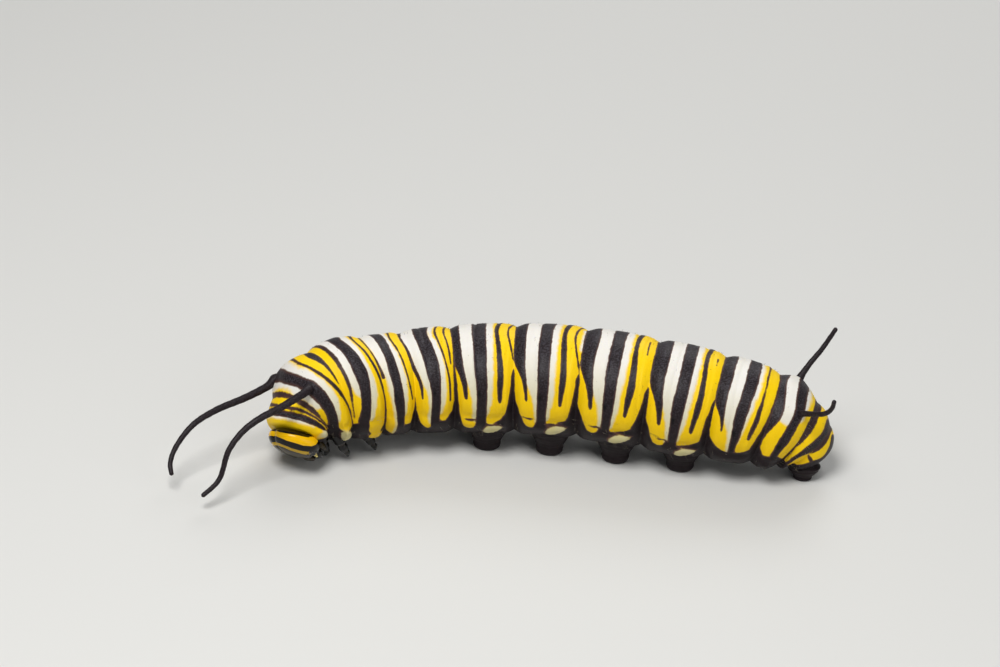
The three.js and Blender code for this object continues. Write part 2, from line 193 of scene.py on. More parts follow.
def deselectAll():
    if bpy.context.mode != "OBJECT":
        bpy.ops.object.mode_set(mode="OBJECT")
    bpy.ops.object.select_all(action="DESELECT")


def readPlaces(piece):
    places = np.zeros(len(piece.data.vertices) * 3, np.float32)
    piece.data.vertices.foreach_get("co", places)
    return places.reshape(-1, 3).astype(float)


def writePlaces(piece, places):
    piece.data.vertices.foreach_set("co", places.astype(np.float32).ravel())
    piece.data.update()


def writeValues(piece, name, values):
    attribute = piece.data.attributes.new(name, "FLOAT", "POINT")
    attribute.data.foreach_set("value", values.astype(np.float32))


def rolledGrid(name, rows, columns, placeAt, mapSize):
    # a grid rolled into a closed skin: placeAt gives places and attributes for the way down
    # the roll, from 0 to 1, and the angle round it, from minus half a turn to half a turn
    deselectAll()
    bpy.ops.mesh.primitive_grid_add(x_subdivisions=columns, y_subdivisions=rows, size=2)
    piece = bpy.context.object
    piece.name = name
    piece.data.name = name
    flat = readPlaces(piece)
    down, angle = (flat[:, 1] + 1) / 2, flat[:, 0] * math.pi
    places, values = placeAt(down, angle)
    writePlaces(piece, places * mm)
    for key, value in values.items():
        writeValues(piece, key, value)
    layer = piece.data.uv_layers[0]
    layer.name = "skinMap"
    corners = np.zeros(len(piece.data.loops), np.int32)
    piece.data.loops.foreach_get("vertex_index", corners)
    uv = np.stack([down * mapSize[0], (angle / (2 * math.pi) + 0.5) * mapSize[1]], -1)[corners]
    layer.data.foreach_set("uv", uv.astype(np.float32).ravel())
    closeSeams(piece)
    return piece


def closeSeams(piece):
    # merges the seam and the poles and turns the faces outward
    deselectAll()
    piece.select_set(True)
    bpy.context.view_layer.objects.active = piece
    bpy.ops.object.mode_set(mode="EDIT")
    bpy.ops.mesh.select_all(action="SELECT")
    bpy.ops.mesh.remove_doubles(threshold=2e-7)
    bpy.ops.mesh.dissolve_degenerate(threshold=1e-8)
    bpy.ops.mesh.select_all(action="SELECT")
    bpy.ops.mesh.normals_make_consistent(inside=False)
    bpy.ops.object.mode_set(mode="OBJECT")
    bpy.ops.object.shade_smooth()


def joined(pieces, name):
    deselectAll()
    for piece in pieces:
        piece.select_set(True)
    bpy.context.view_layer.objects.active = pieces[0]
    bpy.ops.object.join()
    whole = bpy.context.object
    whole.name = name
    whole.data.name = name
    return whole


def finished(piece, name, nodeNames=(), materials=()):
    # a piece's place goes into its mesh; then it rides on the part and stands for its nodes
    deselectAll()
    piece.select_set(True)
    bpy.context.view_layer.objects.active = piece
    bpy.ops.object.transform_apply(location=True, rotation=True, scale=True)
    piece.name = name
    piece.data.name = name
    if materials:
        piece.data.materials.clear()
        for material in materials:
            piece.data.materials.append(material)
    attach(piece, "root")
    if nodeNames:
        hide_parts(*nodeNames)
    return piece


# the markings of the skin, read as on a flat sheet: every edge is a share of its segment's length
# at these angles down from the middle of the back
knotAngles = (0, 20, 40, 50, 60, 70, 80, 100)
fold = -0.01  # an edge that lies in the fold in front
behind = 1.01  # and one that lies in the fold behind
never = (fold,)
ever = (behind,)

# black bands: fore edge, rear edge, and the angle at which the band ends in a round tip; past its
# last share an edge runs straight on
# the bands called fold lie in the folds between segments: their black is partly the black membrane there and
# partly painted shade in the fold
blackBands = {
    "thorax_1": {
        "shield": ((0.24, 0.26, 0.315, 0.345, 0.375, 0.42, 0.46, 0.5),
            (0.54, 0.55, 0.6, 0.64, 0.675, 0.685, 0.695, 0.68), 118),
        "line": ((0.59, 0.645, 0.71, 0.725, 0.75, 0.78, 0.805, 0.84),
            (0.66, 0.725, 0.8, 0.815, 0.835, 0.86, 0.885, 0.91), 102),
        "fold": ((0.94, 0.94, 0.92, 0.9, 0.9, 0.91, 0.94, 0.95), ever, 200),
    },
    "thorax_2": {
        "fold": (never, (0.04, 0.04, 0.05, 0.055, 0.05, 0.03, 0.01, 0), 200),
        "main": ((0.165, 0.197, 0.191, 0.188, 0.186, 0.175, 0.135, 0),
            (0.33, 0.364, 0.438, 0.464, 0.466, 0.462, 0.432, 0.25), 200),
        "rear": ((0.48, 0.55, 0.65, 0.72, 0.78, 0.855, 0.94, 0.985),
            (0.53, 0.615, 0.74, 0.83, 0.91, 0.965, behind, 1.02), 200),
        "back": ((0.74, 0.875, 0.915, 0.93, 0.95), (0.96, 0.98, 0.965, 0.955, 0.95), 52),
    },
    "thorax_3": {
        "front": ((0.12, 0.115, 0.11, 0.105, 0.1, 0.08, 0.06, 0.05),
            (0.175, 0.18, 0.165, 0.16, 0.155, 0.12, 0.072, 0.06), 98),
        "main": ((0.305, 0.33, 0.32, 0.3, 0.33, 0.3, 0.26, 0.1),
            (0.46, 0.54, 0.6, 0.62, 0.59, 0.54, 0.52, 0.39), 200),
        "rear": ((0.66, 0.74, 0.82, 0.87, 0.91, 0.94, 0.98),
            (0.7, 0.79, 0.89, 0.95, 0.98, 1, behind, 1.02), 200),
        "line": ((0.86, 0.92, 0.98, 1), (0.9, 0.95, 1.025, 1.07), 55),
    },
    "abdomen_1": {
        "main": ((0.215, 0.215, 0.24, 0.19, 0.27, 0.26, 0.21, 0.33),
            (0.47, 0.47, 0.5, 0.52, 0.54, 0.55, 0.58, 0.57), 200),
        "rear": ((0.56, 0.64, 0.71, 0.74, 0.77, 0.81, 0.85, 0.9),
            (0.6, 0.68, 0.75, 0.78, 0.82, 0.86, 0.9, 0.95), 83),
        "line": ((0.82, 0.9, 0.96, 1, 1.11, 1.165, 1.171, 1.18),
            (0.86, 0.98, 1.037, 1.098, 1.208, 1.232, 1.208, 1.2), 82),
    },
    "abdomen_2": {
        "main": ((0.18, 0.215, 0.28, 0.3, 0.35, 0.4, 0.42, 0.37),
            (0.45, 0.53, 0.62, 0.645, 0.65, 0.64, 0.64, 0.6), 200),
        "rear": ((0.6, 0.68, 0.77, 0.81, 0.84, 0.86, 0.85, 0.86),
            (0.64, 0.71, 0.8, 0.85, 0.88, 0.9, 0.89), 86),
        "line": ((0.79, 0.87, 0.898, 0.905, 0.91), (0.82, 0.9, 0.926, 0.93, 0.92), 44),
        "fold": ((1, 1, 0.975, 0.97, 0.97, 0.97, 0.975, 0.985), ever, 200),
    },
    "abdomen_3": {
        "front": ((fold, fold, fold, 0.03, 0.1, 0.135, 0.155, 0.17),
            (0.11, 0.12, 0.135, 0.155, 0.195, 0.215, 0.21), 82),
        "main": ((0.31, 0.325, 0.335, 0.34, 0.36, 0.375, 0.385, 0.36),
            (0.53, 0.54, 0.548, 0.55, 0.56, 0.565, 0.56, 0.54), 200),
        "rear": ((0.665, 0.7, 0.725, 0.735, 0.73, 0.73, 0.745, 0.76),
            (0.72, 0.765, 0.81, 0.83, 0.835, 0.825, 0.8, 0.79), 84),
        "line": ((0.852, 0.917, 0.987, 1), (0.876, 0.94, 1.008, 1.015, behind), 36),
    },
    "abdomen_4": {
        "front": ((fold, fold, fold, 0.08, 0.16, 0.185, 0.21, 0.22),
            (0.165, 0.168, 0.175, 0.19, 0.22, 0.24, 0.235), 80),
        "main": ((0.375, 0.37, 0.38, 0.39, 0.4), (0.545, 0.56, 0.565, 0.57, 0.575, 0.57, 0.565, 0.54), 200),
        "rear": ((0.685, 0.7, 0.725, 0.73, 0.73, 0.725, 0.735, 0.75),
            (0.735, 0.775, 0.805, 0.82, 0.825, 0.8, 0.775, 0.76), 82),
        "line": ((0.845, 0.892, 0.976, 1), (0.868, 0.914, 0.997, 1.015, behind), 42),
    },
    "abdomen_5": {
        "front": ((fold, fold, fold, 0.08, 0.14, 0.17, 0.205, 0.21),
            (0.205, 0.185, 0.18, 0.205, 0.225, 0.245, 0.24), 81),
        "main": ((0.37, 0.367, 0.365, 0.375, 0.39, 0.395, 0.405, 0.42),
            (0.535, 0.545, 0.55, 0.545, 0.555, 0.56, 0.555, 0.54), 200),
        "rear": ((0.69, 0.695, 0.715, 0.71, 0.71, 0.7, 0.72, 0.74),
            (0.735, 0.77, 0.8, 0.815, 0.805, 0.785, 0.75), 82),
        "line": ((0.876, 0.89, 0.9), (0.89, 0.9, 0.91), 12),
    },
    "abdomen_6": {
        "front": ((fold, fold, fold, 0.06, 0.14, 0.19, 0.225, 0.24),
            (0.225, 0.225, 0.21, 0.225, 0.255, 0.275, 0.27), 83),
        "main": ((0.42, 0.425, 0.42, 0.405, 0.395, 0.4, 0.42),
            (0.6, 0.6, 0.595, 0.595, 0.59, 0.58, 0.57, 0.555), 200),
        "rear": ((0.72, 0.74, 0.75, 0.745, 0.735, 0.725, 0.72),
            (0.775, 0.8, 0.825, 0.83, 0.825, 0.805, 0.775, 0.76), 86),
        "line": ((0.894, 0.9), (0.907, 0.91), 7),
    },
    "abdomen_7": {
        "front": ((fold, fold, fold, fold, 0.17, 0.225, 0.25, 0.26),
            (0.215, 0.23, 0.21, 0.215, 0.24, 0.265, 0.27, 0.28), 77),
        "main": ((0.455, 0.475, 0.455, 0.44, 0.43, 0.46, 0.475, 0.48),
            (0.66, 0.665, 0.64, 0.635, 0.63, 0.635, 0.61, 0.59), 200),
        "rear": ((0.78, 0.8, 0.785, 0.775, 0.765, 0.745, 0.75),
            (0.805, 0.82, 0.83, 0.845, 0.85, 0.82, 0.79), 79),
        "fold": ((0.985, 0.985, 0.98, 0.98, 0.96, 0.93, 0.91, 0.86), ever, 200),
    },
    "abdomen_8": {
        "front": (never, (0.13, 0.2, 0.265, 0.235, 0.13, 0.04, 0.04, 0.03), 200),
        "main": ((0.43, 0.46, 0.52, 0.49, 0.44, 0.42, 0.4, 0.38),
            (0.66, 0.7, 0.71, 0.69, 0.7, 0.7, 0.63, 0.55), 200),
        "fold": ((0.9, 0.9, 0.92, 0.94, 0.96, 0.95, 0.9, 0.88), ever, 200),
    },
    "abdomen_9": {
        "front": (never, (0.15, 0.17, 0.18, 0.15, 0.08, 0, -0.15), 200),
        "main": ((0.6, 0.7, 0.6, 0.53, 0.45, 0.4, 0.3, 0.2),
            (behind, behind, behind, behind, 0.95, 0.7, 0.55, 0.4), 200),
    },
    "abdomen_10": {
        "front": (never, (0.05, 0.15, 0.12, 0.1, 0, -0.3, -0.5), 200),
        "rear": ((0.12, 0.38, 0.5, 0.48, 0.3, 0.35, 0.25, 0.05), (2,), 200),
    },
}

# white bands on the yellow ground, in the same way; their hidden edges lie under the black
whiteBands = {
    "thorax_1": {
        "collar": ((0.12, 0.15, 0.2, 0.23, 0.26, 0.3, 0.33),
            (0.3, 0.32, 0.35, 0.36, 0.38, 0.38, 0.35, 0.3), 72),
    },
    "thorax_2": {
        "front": ((0.11, 0.08, 0.05, 0.04, 0.06, 0.1, 0.2), (0.3,), 64),
        "rear": ((0.25,), (0.44, 0.5, 0.6, 0.66, 0.7, 0.66, 0.58, 0.3), 92),
    },
    "thorax_3": {
        "front": ((0.15, 0.15, 0.14, 0.14, 0.15, 0.22, 0.25), (0.4,), 74),
        "rear": ((0.4,), (0.62, 0.67, 0.7, 0.73, 0.76, 0.75, 0.7, 0.5), 98),
    },
    "abdomen_1": {
        "front": ((-0.12, -0.03, 0, 0.1, 0.12, 0.12, 0.15, 0.25), (0.35,), 130),
        "rear": ((0.4,), (0.54, 0.6, 0.67, 0.7, 0.72, 0.71, 0.7, 0.62), 97),
    },
    "abdomen_2": {
        "front": ((-0.14, -0.03, 0.03, 0.08, 0.16, 0.24, 0.34, 0.3), (0.5,), 108),
        "rear": ((0.5,), (0.53, 0.66, 0.75, 0.76, 0.77, 0.785, 0.79, 0.62), 97),
    },
    "abdomen_3": {
        "front": ((0.05, 0.05, 0.06, 0.08, 0.17, 0.25, 0.29, 0.3), (0.45,), 105),
        "rear": ((0.45,), (0.635, 0.65, 0.66, 0.66, 0.66, 0.655, 0.65, 0.55), 99),
    },
    "abdomen_4": {
        "front": ((0.1, 0.1, 0.1, 0.12, 0.2, 0.3, 0.33, 0.38), (0.48,), 103),
        "rear": ((0.48,), (0.64, 0.65, 0.66, 0.66, 0.66, 0.655, 0.65, 0.56), 99),
        "edge": ((0.96,), (1,), 20),
    },
    "abdomen_5": {
        "front": ((0.1, 0.1, 0.1, 0.12, 0.2, 0.29, 0.34, 0.37), (0.48,), 102),
        "rear": ((0.48,), (0.645, 0.65, 0.65, 0.64, 0.63, 0.63, 0.63, 0.55), 97),
    },
    "abdomen_6": {
        "front": ((0.1, 0.1, 0.1, 0.12, 0.22, 0.3, 0.35, 0.38), (0.5,), 102),
        "rear": ((0.5,), (0.68, 0.69, 0.68, 0.67, 0.66, 0.65, 0.64, 0.57), 97),
    },
    "abdomen_7": {
        "front": ((0.1, 0.1, 0.1, 0.12, 0.22, 0.33, 0.4, 0.44), (0.55,), 102),
        "rear": ((0.55,), (0.72, 0.73, 0.7, 0.69, 0.68, 0.65, 0.62, 0.6), 86),
    },
    "abdomen_8": {
        "front": ((0.05, 0.1, 0.2, 0.25, 0.32, 0.36, 0.38, 0.4), (0.55,), 50),
        "rear": ((0.55,), (0.78, 0.77, 0.74, 0.73, 0.73, 0.72, 0.7, 0.6), 40),
    },
}

# below these places, share and angle, the flank is black down to the belly; where the line rises up at each
# fold, the black wedge there is partly black membrane and partly painted shade in the fold
hems = {
    "thorax_1": [(0, 100), (0.15, 105), (0.5, 106), (0.8, 101), (1, 105)],
    "thorax_2": [(0, 95), (0.1, 92), (0.3, 107), (0.6, 108), (0.8, 108), (1, 110)],
    "thorax_3": [(0, 108), (0.1, 103), (0.2, 100), (0.45, 116), (0.7, 122), (1, 112)],
    "abdomen_1": [(0, 106), (0.05, 125), (0.3, 130), (0.6, 108), (0.8, 108), (0.97, 92), (1, 80)],
    "abdomen_2": [(0, 84), (0.02, 96), (0.1, 108), (0.3, 114), (0.5, 105), (0.75, 105), (0.92, 96), (1, 82)],
    "abdomen_3": [
        (0, 47), (0.012, 50), (0.03, 62), (0.04, 80), (0.055, 90), (0.08, 100), (0.12, 110), (0.17, 114),
        (0.25, 115), (0.32, 111), (0.37, 105), (0.42, 104), (0.5, 107), (0.6, 107), (0.7, 105), (0.8, 101),
        (0.88, 94), (0.92, 84), (0.95, 70), (0.965, 55), (1, 45),
    ],
    "abdomen_4": [
        (0, 46), (0.012, 52), (0.022, 70), (0.03, 80), (0.06, 86), (0.1, 91), (0.15, 99), (0.21, 105),
        (0.28, 107), (0.34, 105), (0.4, 98), (0.55, 102), (0.7, 100), (0.85, 97), (0.9, 92), (0.93, 80),
        (0.95, 70), (0.965, 50), (1, 44),
    ],
    "abdomen_5": [
        (0, 46), (0.01, 50), (0.014, 78), (0.03, 83), (0.08, 89), (0.14, 96), (0.19, 102), (0.27, 104),
        (0.35, 102), (0.4, 97), (0.54, 101), (0.65, 99), (0.75, 97), (0.85, 93), (0.9, 84), (0.945, 70),
        (0.96, 55), (1, 46),
    ],
    "abdomen_6": [
        (0, 47), (0.02, 55), (0.03, 66), (0.035, 80), (0.055, 85), (0.1, 89), (0.14, 96), (0.19, 102),
        (0.27, 104), (0.35, 102), (0.4, 98), (0.56, 102), (0.7, 101), (0.8, 98), (0.9, 94), (0.92, 80),
        (0.93, 70), (0.955, 60), (0.97, 50), (1, 44),
    ],
    "abdomen_7": [
        (0, 50), (0.02, 82), (0.05, 89), (0.3, 95), (0.5, 98), (0.7, 95), (0.86, 90), (0.93, 70), (1, 52),
    ],
    "abdomen_8": [(0, 75), (0.05, 88), (0.2, 92), (0.45, 89), (0.6, 87), (0.8, 90), (1, 97)],
    "abdomen_9": [(0, 97), (0.5, 97), (1, 96)],
    "abdomen_10": [(0, 96), (0.3, 88), (0.5, 70), (0.6, 40), (1, 0)],
}

# small spots: kind, segment, share, angle, half length and half height in millimetres, slant,
# and how much they narrow to the rear; a swelling has no colour of its own
patches = [
    ("pale", "thorax_1", 0.36, 97, 0.29, 0.3, 0, 0),
    ("yellow", "thorax_1", 0.3, 86, 0.2, 0.12, 0, 0),
    ("pale", "thorax_2", 0.55, 120, 0.75, 0.8, 0.2, 0),
    ("yellow", "thorax_3", 0.72, 126, 0.85, 0.55, 0.2, 0),
    ("swelling", "abdomen_2", 0.24, 110, 0.6, 0.4, 0, 0),
    ("swelling", "abdomen_3", 0.23, 108.5, 0.6, 0.42, 0.1, 0),
    ("swelling", "abdomen_4", 0.28, 101.5, 0.5, 0.36, 0.25, 0),
    ("swelling", "abdomen_5", 0.27, 99.5, 0.5, 0.34, 0.25, 0),
    ("swelling", "abdomen_6", 0.27, 99.5, 0.5, 0.34, 0.3, 0),
    ("black", "abdomen_3", 0.28, 102.5, 0.42, 0.07, 0.1, 0),
    ("black", "abdomen_4", 0.3, 96.5, 0.44, 0.07, 0.15, 0),
    ("black", "abdomen_5", 0.29, 95.5, 0.44, 0.07, 0.15, 0),
    ("black", "abdomen_6", 0.29, 95, 0.44, 0.07, 0.15, 0),
    ("black", "abdomen_10", 0.22, 64, 0.3, 0.14, 0, 0),
    ("pale", "abdomen_3", 0.65, 115.5, 0.76, 0.52, -0.35, 0.4),
    ("pale", "abdomen_4", 0.71, 109, 0.84, 0.47, -0.35, 0.5),
    ("pale", "abdomen_5", 0.71, 107.6, 0.82, 0.44, -0.4, 0.5),
    ("pale", "abdomen_6", 0.71, 110.5, 0.8, 0.48, -0.4, 0.45),
]


def edgeAt(degrees, shares):
    # an edge between its knots, with the corners rounded off
    knots = knotAngles[: len(shares)]
    return np.mean([np.interp(np.abs(degrees + step), knots, shares) for step in (-8, -4, 0, 4, 8)], 0)


def bandDepth(band, share, degrees, length, perDegree):
    # millimetres inside a band, negative outside it; the far end is rounded
    fore, rear = edgeAt(degrees, band[0]) * length, edgeAt(degrees, band[1]) * length
    half = (rear - fore) / 2
    past = np.maximum(0, (degrees - band[2]) * perDegree + half)
    return half - np.hypot(share * length - (fore + rear) / 2, past)


def fromStretch(x, y, start, end):
    # the distance to the nearest place of a straight stretch
    (x0, y0), (x1, y1) = start, end
    across, down = x1 - x0, y1 - y0
    way = np.clip(((x - x0) * across + (y - y0) * down) / (across**2 + down**2), 0, 1)
    return np.hypot(x - x0 - way * across, y - y0 - way * down)


def hemDepth(hem, share, degrees, length, perDegree):
    # millimetres below the hem's broken line, negative above it
    x, y = share * length, degrees * perDegree
    points = [(s * length, a * perDegree) for s, a in hem]
    nearest = np.min([fromStretch(x, y, start, end) for start, end in zip(points, points[1:])], 0)
    below = degrees > np.interp(share, [s for s, _ in hem], [a for _, a in hem])
    return np.where(below, nearest, -nearest)


def patchDepth(patch, along, degrees, perDegree):
    _, name, atShare, atAngle, halfLength, halfHeight, slant, narrowing = patch
    i = segmentNames.index(name)
    x, y = along - edges[i] - atShare * lengths[i], (degrees - atAngle) * perDegree
    height = halfHeight * np.clip(1 - narrowing * x / halfLength, 0.3, 1.6)
    reach = np.hypot(x / halfLength, (y - slant * x) / height)
    return (1 - reach) * min(halfLength, halfHeight)


def markings(along, angle):
    # signed distances in millimetres to the edges of the black and of the white
    index, _, _ = segmentAt(along)
    degrees = np.abs(np.degrees(angle))
    perDegree = math.radians(1) * valueAt("halfWidth", along)
    black, white = np.full(along.shape, -9.0), np.full(along.shape, -9.0)
    for i, name in enumerate(segmentNames):
        near = np.abs(along - middles[i]) < lengths[i] / 2 + 1.2
        here = (along[near] - edges[i]) / lengths[i]
        place = (here, degrees[near], lengths[i], perDegree[near])
        for band in blackBands[name].values():
            black[near] = np.maximum(black[near], bandDepth(band, *place))
        for band in whiteBands.get(name, {}).values():
            white[near] = np.maximum(white[near], bandDepth(band, *place))
        below = np.where(index[near] == i, hemDepth(hems[name], *place), -9.0)
        black[near] = np.maximum(black[near], below)
    for patch in patches:
        depth = patchDepth(patch, along, degrees, perDegree)
        if patch[0] == "black":
            black = np.maximum(black, depth)
        elif patch[0] != "swelling":
            black = np.minimum(black, -depth)
            white = np.maximum(white, depth + 0.05) if patch[0] == "pale" else np.minimum(white, -depth)
    return black, white


relief = {
    "creaseDepth": 0.08,  # the sharp line at the bottom of each fold
    "creaseWidth": 0.1,
    "creaseLean": {3: 0.36, 4: 0.45},  # on the back these folds lie further forward, in millimetres
    "rings": ((0.2, 0.03), (0.36, 0.08), (0.57, 0.03), (0.71, 0.07), (0.86, 0.06)),  # share and depth
    "ringWidth": 0.12,
    "flankCrease": 0.11,
    "spiracleAngle": 75.5,
    "spiracleHalf": (0.1, 0.17),
    "spiracleRim": 0.05,
    "spiracleDip": 0.09,
    "hornRise": 0.16,  # how far the skin draws up round the root of a horn, and over what width
    "hornWidth": 0.5,
}
spiracleShares = {
    "thorax_1": 0.75, "abdomen_1": 0.3, "abdomen_2": 0.485, "abdomen_3": 0.42, "abdomen_4": 0.447,
    "abdomen_5": 0.43, "abdomen_6": 0.45, "abdomen_7": 0.5, "abdomen_8": 0.5,
}


def spiracleReaches(along, degrees, perDegree):
    # how far every place lies from each breathing hole, 1 at the hole's edge
    halfAlong, halfAround = relief["spiracleHalf"]
    y = (degrees - relief["spiracleAngle"]) * perDegree / halfAround
    return [np.hypot((along - alongOf(*place)) / halfAlong, y) for place in spiracleShares.items()]


def skinRelief(along, angle):
    # how far the finer forms stand out from the plain skin, in millimetres
    index, share, _ = segmentAt(along)
    degrees = np.abs(np.degrees(angle))
    perDegree = math.radians(1) * valueAt("halfWidth", along)
    length = lengths[index]
    side = np.sin(angle) ** 2
    out = np.zeros(along.shape)
    for number, edge in enumerate(edges[1:-1], 1):
        lean = relief["creaseLean"].get(number, 0) * np.clip(1 - degrees / 48, 0, 1)
        out -= relief["creaseDepth"] * (0.3 + 0.7 * side) * bell(along - edge + lean, relief["creaseWidth"])
    longOnes = np.clip((length - 2) / 2, 0, 1)
    upper = 1 / (1 + np.exp((degrees - 92) / 5))
    for ring, ringDepth in relief["rings"]:
        wander = 0.02 * np.sin(angle * 3 + index * 1.7 + ring * 20)
        depth = ringDepth * (0.7 + 0.3 * np.sin(angle * 5 + ring * 31 + index))
        out -= longOnes * upper * depth * bell((share - ring - wander) * length, relief["ringWidth"])
    out += 0.035 * np.sin(math.pi * share) ** 0.7 * np.clip(length / 3, 0, 1)
    below = (degrees - 97 - 3 * np.sin(math.pi * share)) * perDegree
    inside = np.clip(share * 6, 0, 1) * np.clip((1 - share) * 6, 0, 1) * np.clip((degrees - 60) / 30, 0, 1)
    out -= relief["flankCrease"] * bell(below, 0.22) * inside
    out += 0.1 * bell(below + 0.75, 0.6) * bell(share - 0.3, 0.2) * longOnes
    out += 0.12 * bell(below + 0.75, 0.6) * bell(share - 0.75, 0.18) * longOnes
    for patch in patches:
        if patch[0] != "black":
            height = 0.2 if patch[0] == "pale" else 0.15
            out += height * np.clip(patchDepth(patch, along, degrees, perDegree) / 0.25 + 0.3, 0, 1) ** 0.7
    for reach in spiracleReaches(along, degrees, perDegree):
        out += relief["spiracleRim"] * bell(reach - 1.25, 0.35) - relief["spiracleDip"] * bell(reach, 0.75)
    for horn in horns:
        x = along - alongOf(horn["segment"], horn["share"])
        y = (np.degrees(angle) - horn["angle"]) * perDegree
        out += relief["hornRise"] * bell(np.hypot(x, y), relief["hornWidth"])
    return out


skinGrid = {"rows": 620, "columns": 120, "endRows": 0.012, "neckBulge": 0.27, "tailBulge": 0.3}


def skinPlaces(down, angle):
    cap = skinGrid["endRows"]
    along = np.clip((down - cap) / (1 - 2 * cap), 0, 1) * bodyLength
    black, white = markings(along, angle)
    places = skinPoint(along, angle, skinRelief(along, angle))
    closing = np.maximum(0, np.maximum(cap - down, down - (1 - cap))) / cap
    # the roll of skin behind the head keeps the collar's colours, and is black where it dips inside
    black = np.where(down < cap, np.maximum(black, (closing - 0.55) * 1.5), black)
    middle = linePoint(along)
    forward, _, _ = bodyAxes(along)
    # the roll is fullest on the back and fades down the sides
    full = skinGrid["neckBulge"] * (1 - np.clip((np.abs(np.degrees(angle)) - 35) / 40, 0, 1))
    bulge = np.where(down < 0.5, full, -skinGrid["tailBulge"]) * np.sin(closing * math.pi / 2)
    places = middle + (places - middle) * np.cos(closing * math.pi / 2)[:, None] + forward * bulge[:, None]
    degrees = np.abs(np.degrees(angle))
    reaches = spiracleReaches(along, degrees, math.radians(1) * valueAt("halfWidth", along))
    values = {
        "blackDepth": black,
        "whiteDepth": white,
        # low drives the painted shade low on the flank and keeps the painted sheen of the black to the back
        "low": np.clip((degrees - 25) / 80, 0, 1),  # from the back down to the belly
        "pit": np.clip(1.4 * sum(bell(reach, 1.1) for reach in reaches), 0, 1),  # 1 in a hole's mouth
    }
    return places, values


def makeSkin():
    return rolledGrid(
        "skin", skinGrid["rows"], skinGrid["columns"], skinPlaces, (bodyLength * mm, 2 * math.pi * 3.8 * mm)
    )


# soft legs, each a stout cone that grows out of the flank and spreads into a flat sole
softLegs = {
    "rings": [  # share of the height from hip to sole, half length, half width
        (0, 1.75, 1.35), (0.3, 1.55, 1.2), (0.55, 1.2, 0.95), (0.75, 0.95, 0.72), (0.88, 0.98, 0.76),
        (1, 0.82, 0.62),
    ],
    "hipHeight": 0.55,
    "legs": [  # segment, share of its length, hip and foot from the middle, size
        ("abdomen_3", 0.6, 1.7, 1.95, 1), ("abdomen_4", 0.6, 1.7, 1.95, 1), ("abdomen_5", 0.6, 1.7, 1.95, 1),
        ("abdomen_6", 0.58, 1.7, 1.9, 1), ("abdomen_10", 0.2, 1, 1.2, 0.68),
    ],
    "rows": 48,
    "columns": 32,
}


def alongOf(name, share):
    return edges[segmentNames.index(name)] + share * lengths[segmentNames.index(name)]


def levelAxes(along):
    forward, _, _ = bodyAxes(np.array(along))
    level = forward * (1, 1, 0)
    level /= np.linalg.norm(level)
    return level, np.array([-level[1], level[0], 0.0])


def allBlack(down, low):
    # markings of a piece of skin that is black all over
    ones = np.ones(down.shape)
    return {"blackDepth": 0.6 * ones, "whiteDepth": -9 * ones, "low": low * ones}


def makeSoftLeg(segment, share, hip, foot, size, side):
    along = alongOf(segment, share)
    centre = linePoint(along)
    level, outward = levelAxes(along)
    shares, halfLengths, halfWidths = (np.array(column) for column in zip(*softLegs["rings"]))
    top = centre[2] * softLegs["hipHeight"]

    def places(down, angle):
        sole = np.clip((down - 0.9) / 0.1, 0, 1)
        way = np.clip(down / 0.9, 0, 1) * 1.25 - 0.25  # the first rings run up inside the body
        inside = np.maximum(0, -way) / 0.25
        wrinkle = 0.01 * np.sin(way * 27 + 1.3 * np.sin(angle) + 0.8 * np.sin(angle * 3 + side))
        finer = 0.008 * np.sin(way * 61 + 2.1 * np.sin(angle * 2 + along))
        wrinkle = wrinkle + finer * np.clip(way * 4, 0, 1)
        halfLength = size * np.interp(way, shares, halfLengths) * (1 + wrinkle) * (1 - 0.25 * inside)
        halfWidth = size * np.interp(way, shares, halfWidths) * (1 + wrinkle) * (1 - 0.25 * inside)
        aside = side * (hip + (foot - hip) * np.clip(way, -0.25, 1))
        shrink = np.cos(sole * math.pi / 2)
        ground = top * (1 - way)
        rounded = 0.1 * (1 - np.sqrt(1 - np.clip((way - 0.93) / 0.07, 0, 1) ** 2 * 0.9))
        halfLength, halfWidth = (half * shrink - rounded * size for half in (halfLength, halfWidth))
        halfLength, halfWidth = np.maximum(halfLength, 0), np.maximum(halfWidth, 0)
        where = centre * (1, 1, 0) + outward * aside[:, None]
        where = where + level * (halfLength * np.cos(angle))[:, None]
        where = where + outward * (halfWidth * np.sin(angle))[:, None]
        where[:, 2] = np.maximum(ground, 0)
        return where, allBlack(down, 1)

    number = segment.split("_")[1]
    name = "proleg_" + number + ("_left" if side > 0 else "_right")
    return rolledGrid(name, softLegs["rows"], softLegs["columns"], places, (3 * mm, 6 * mm)), name


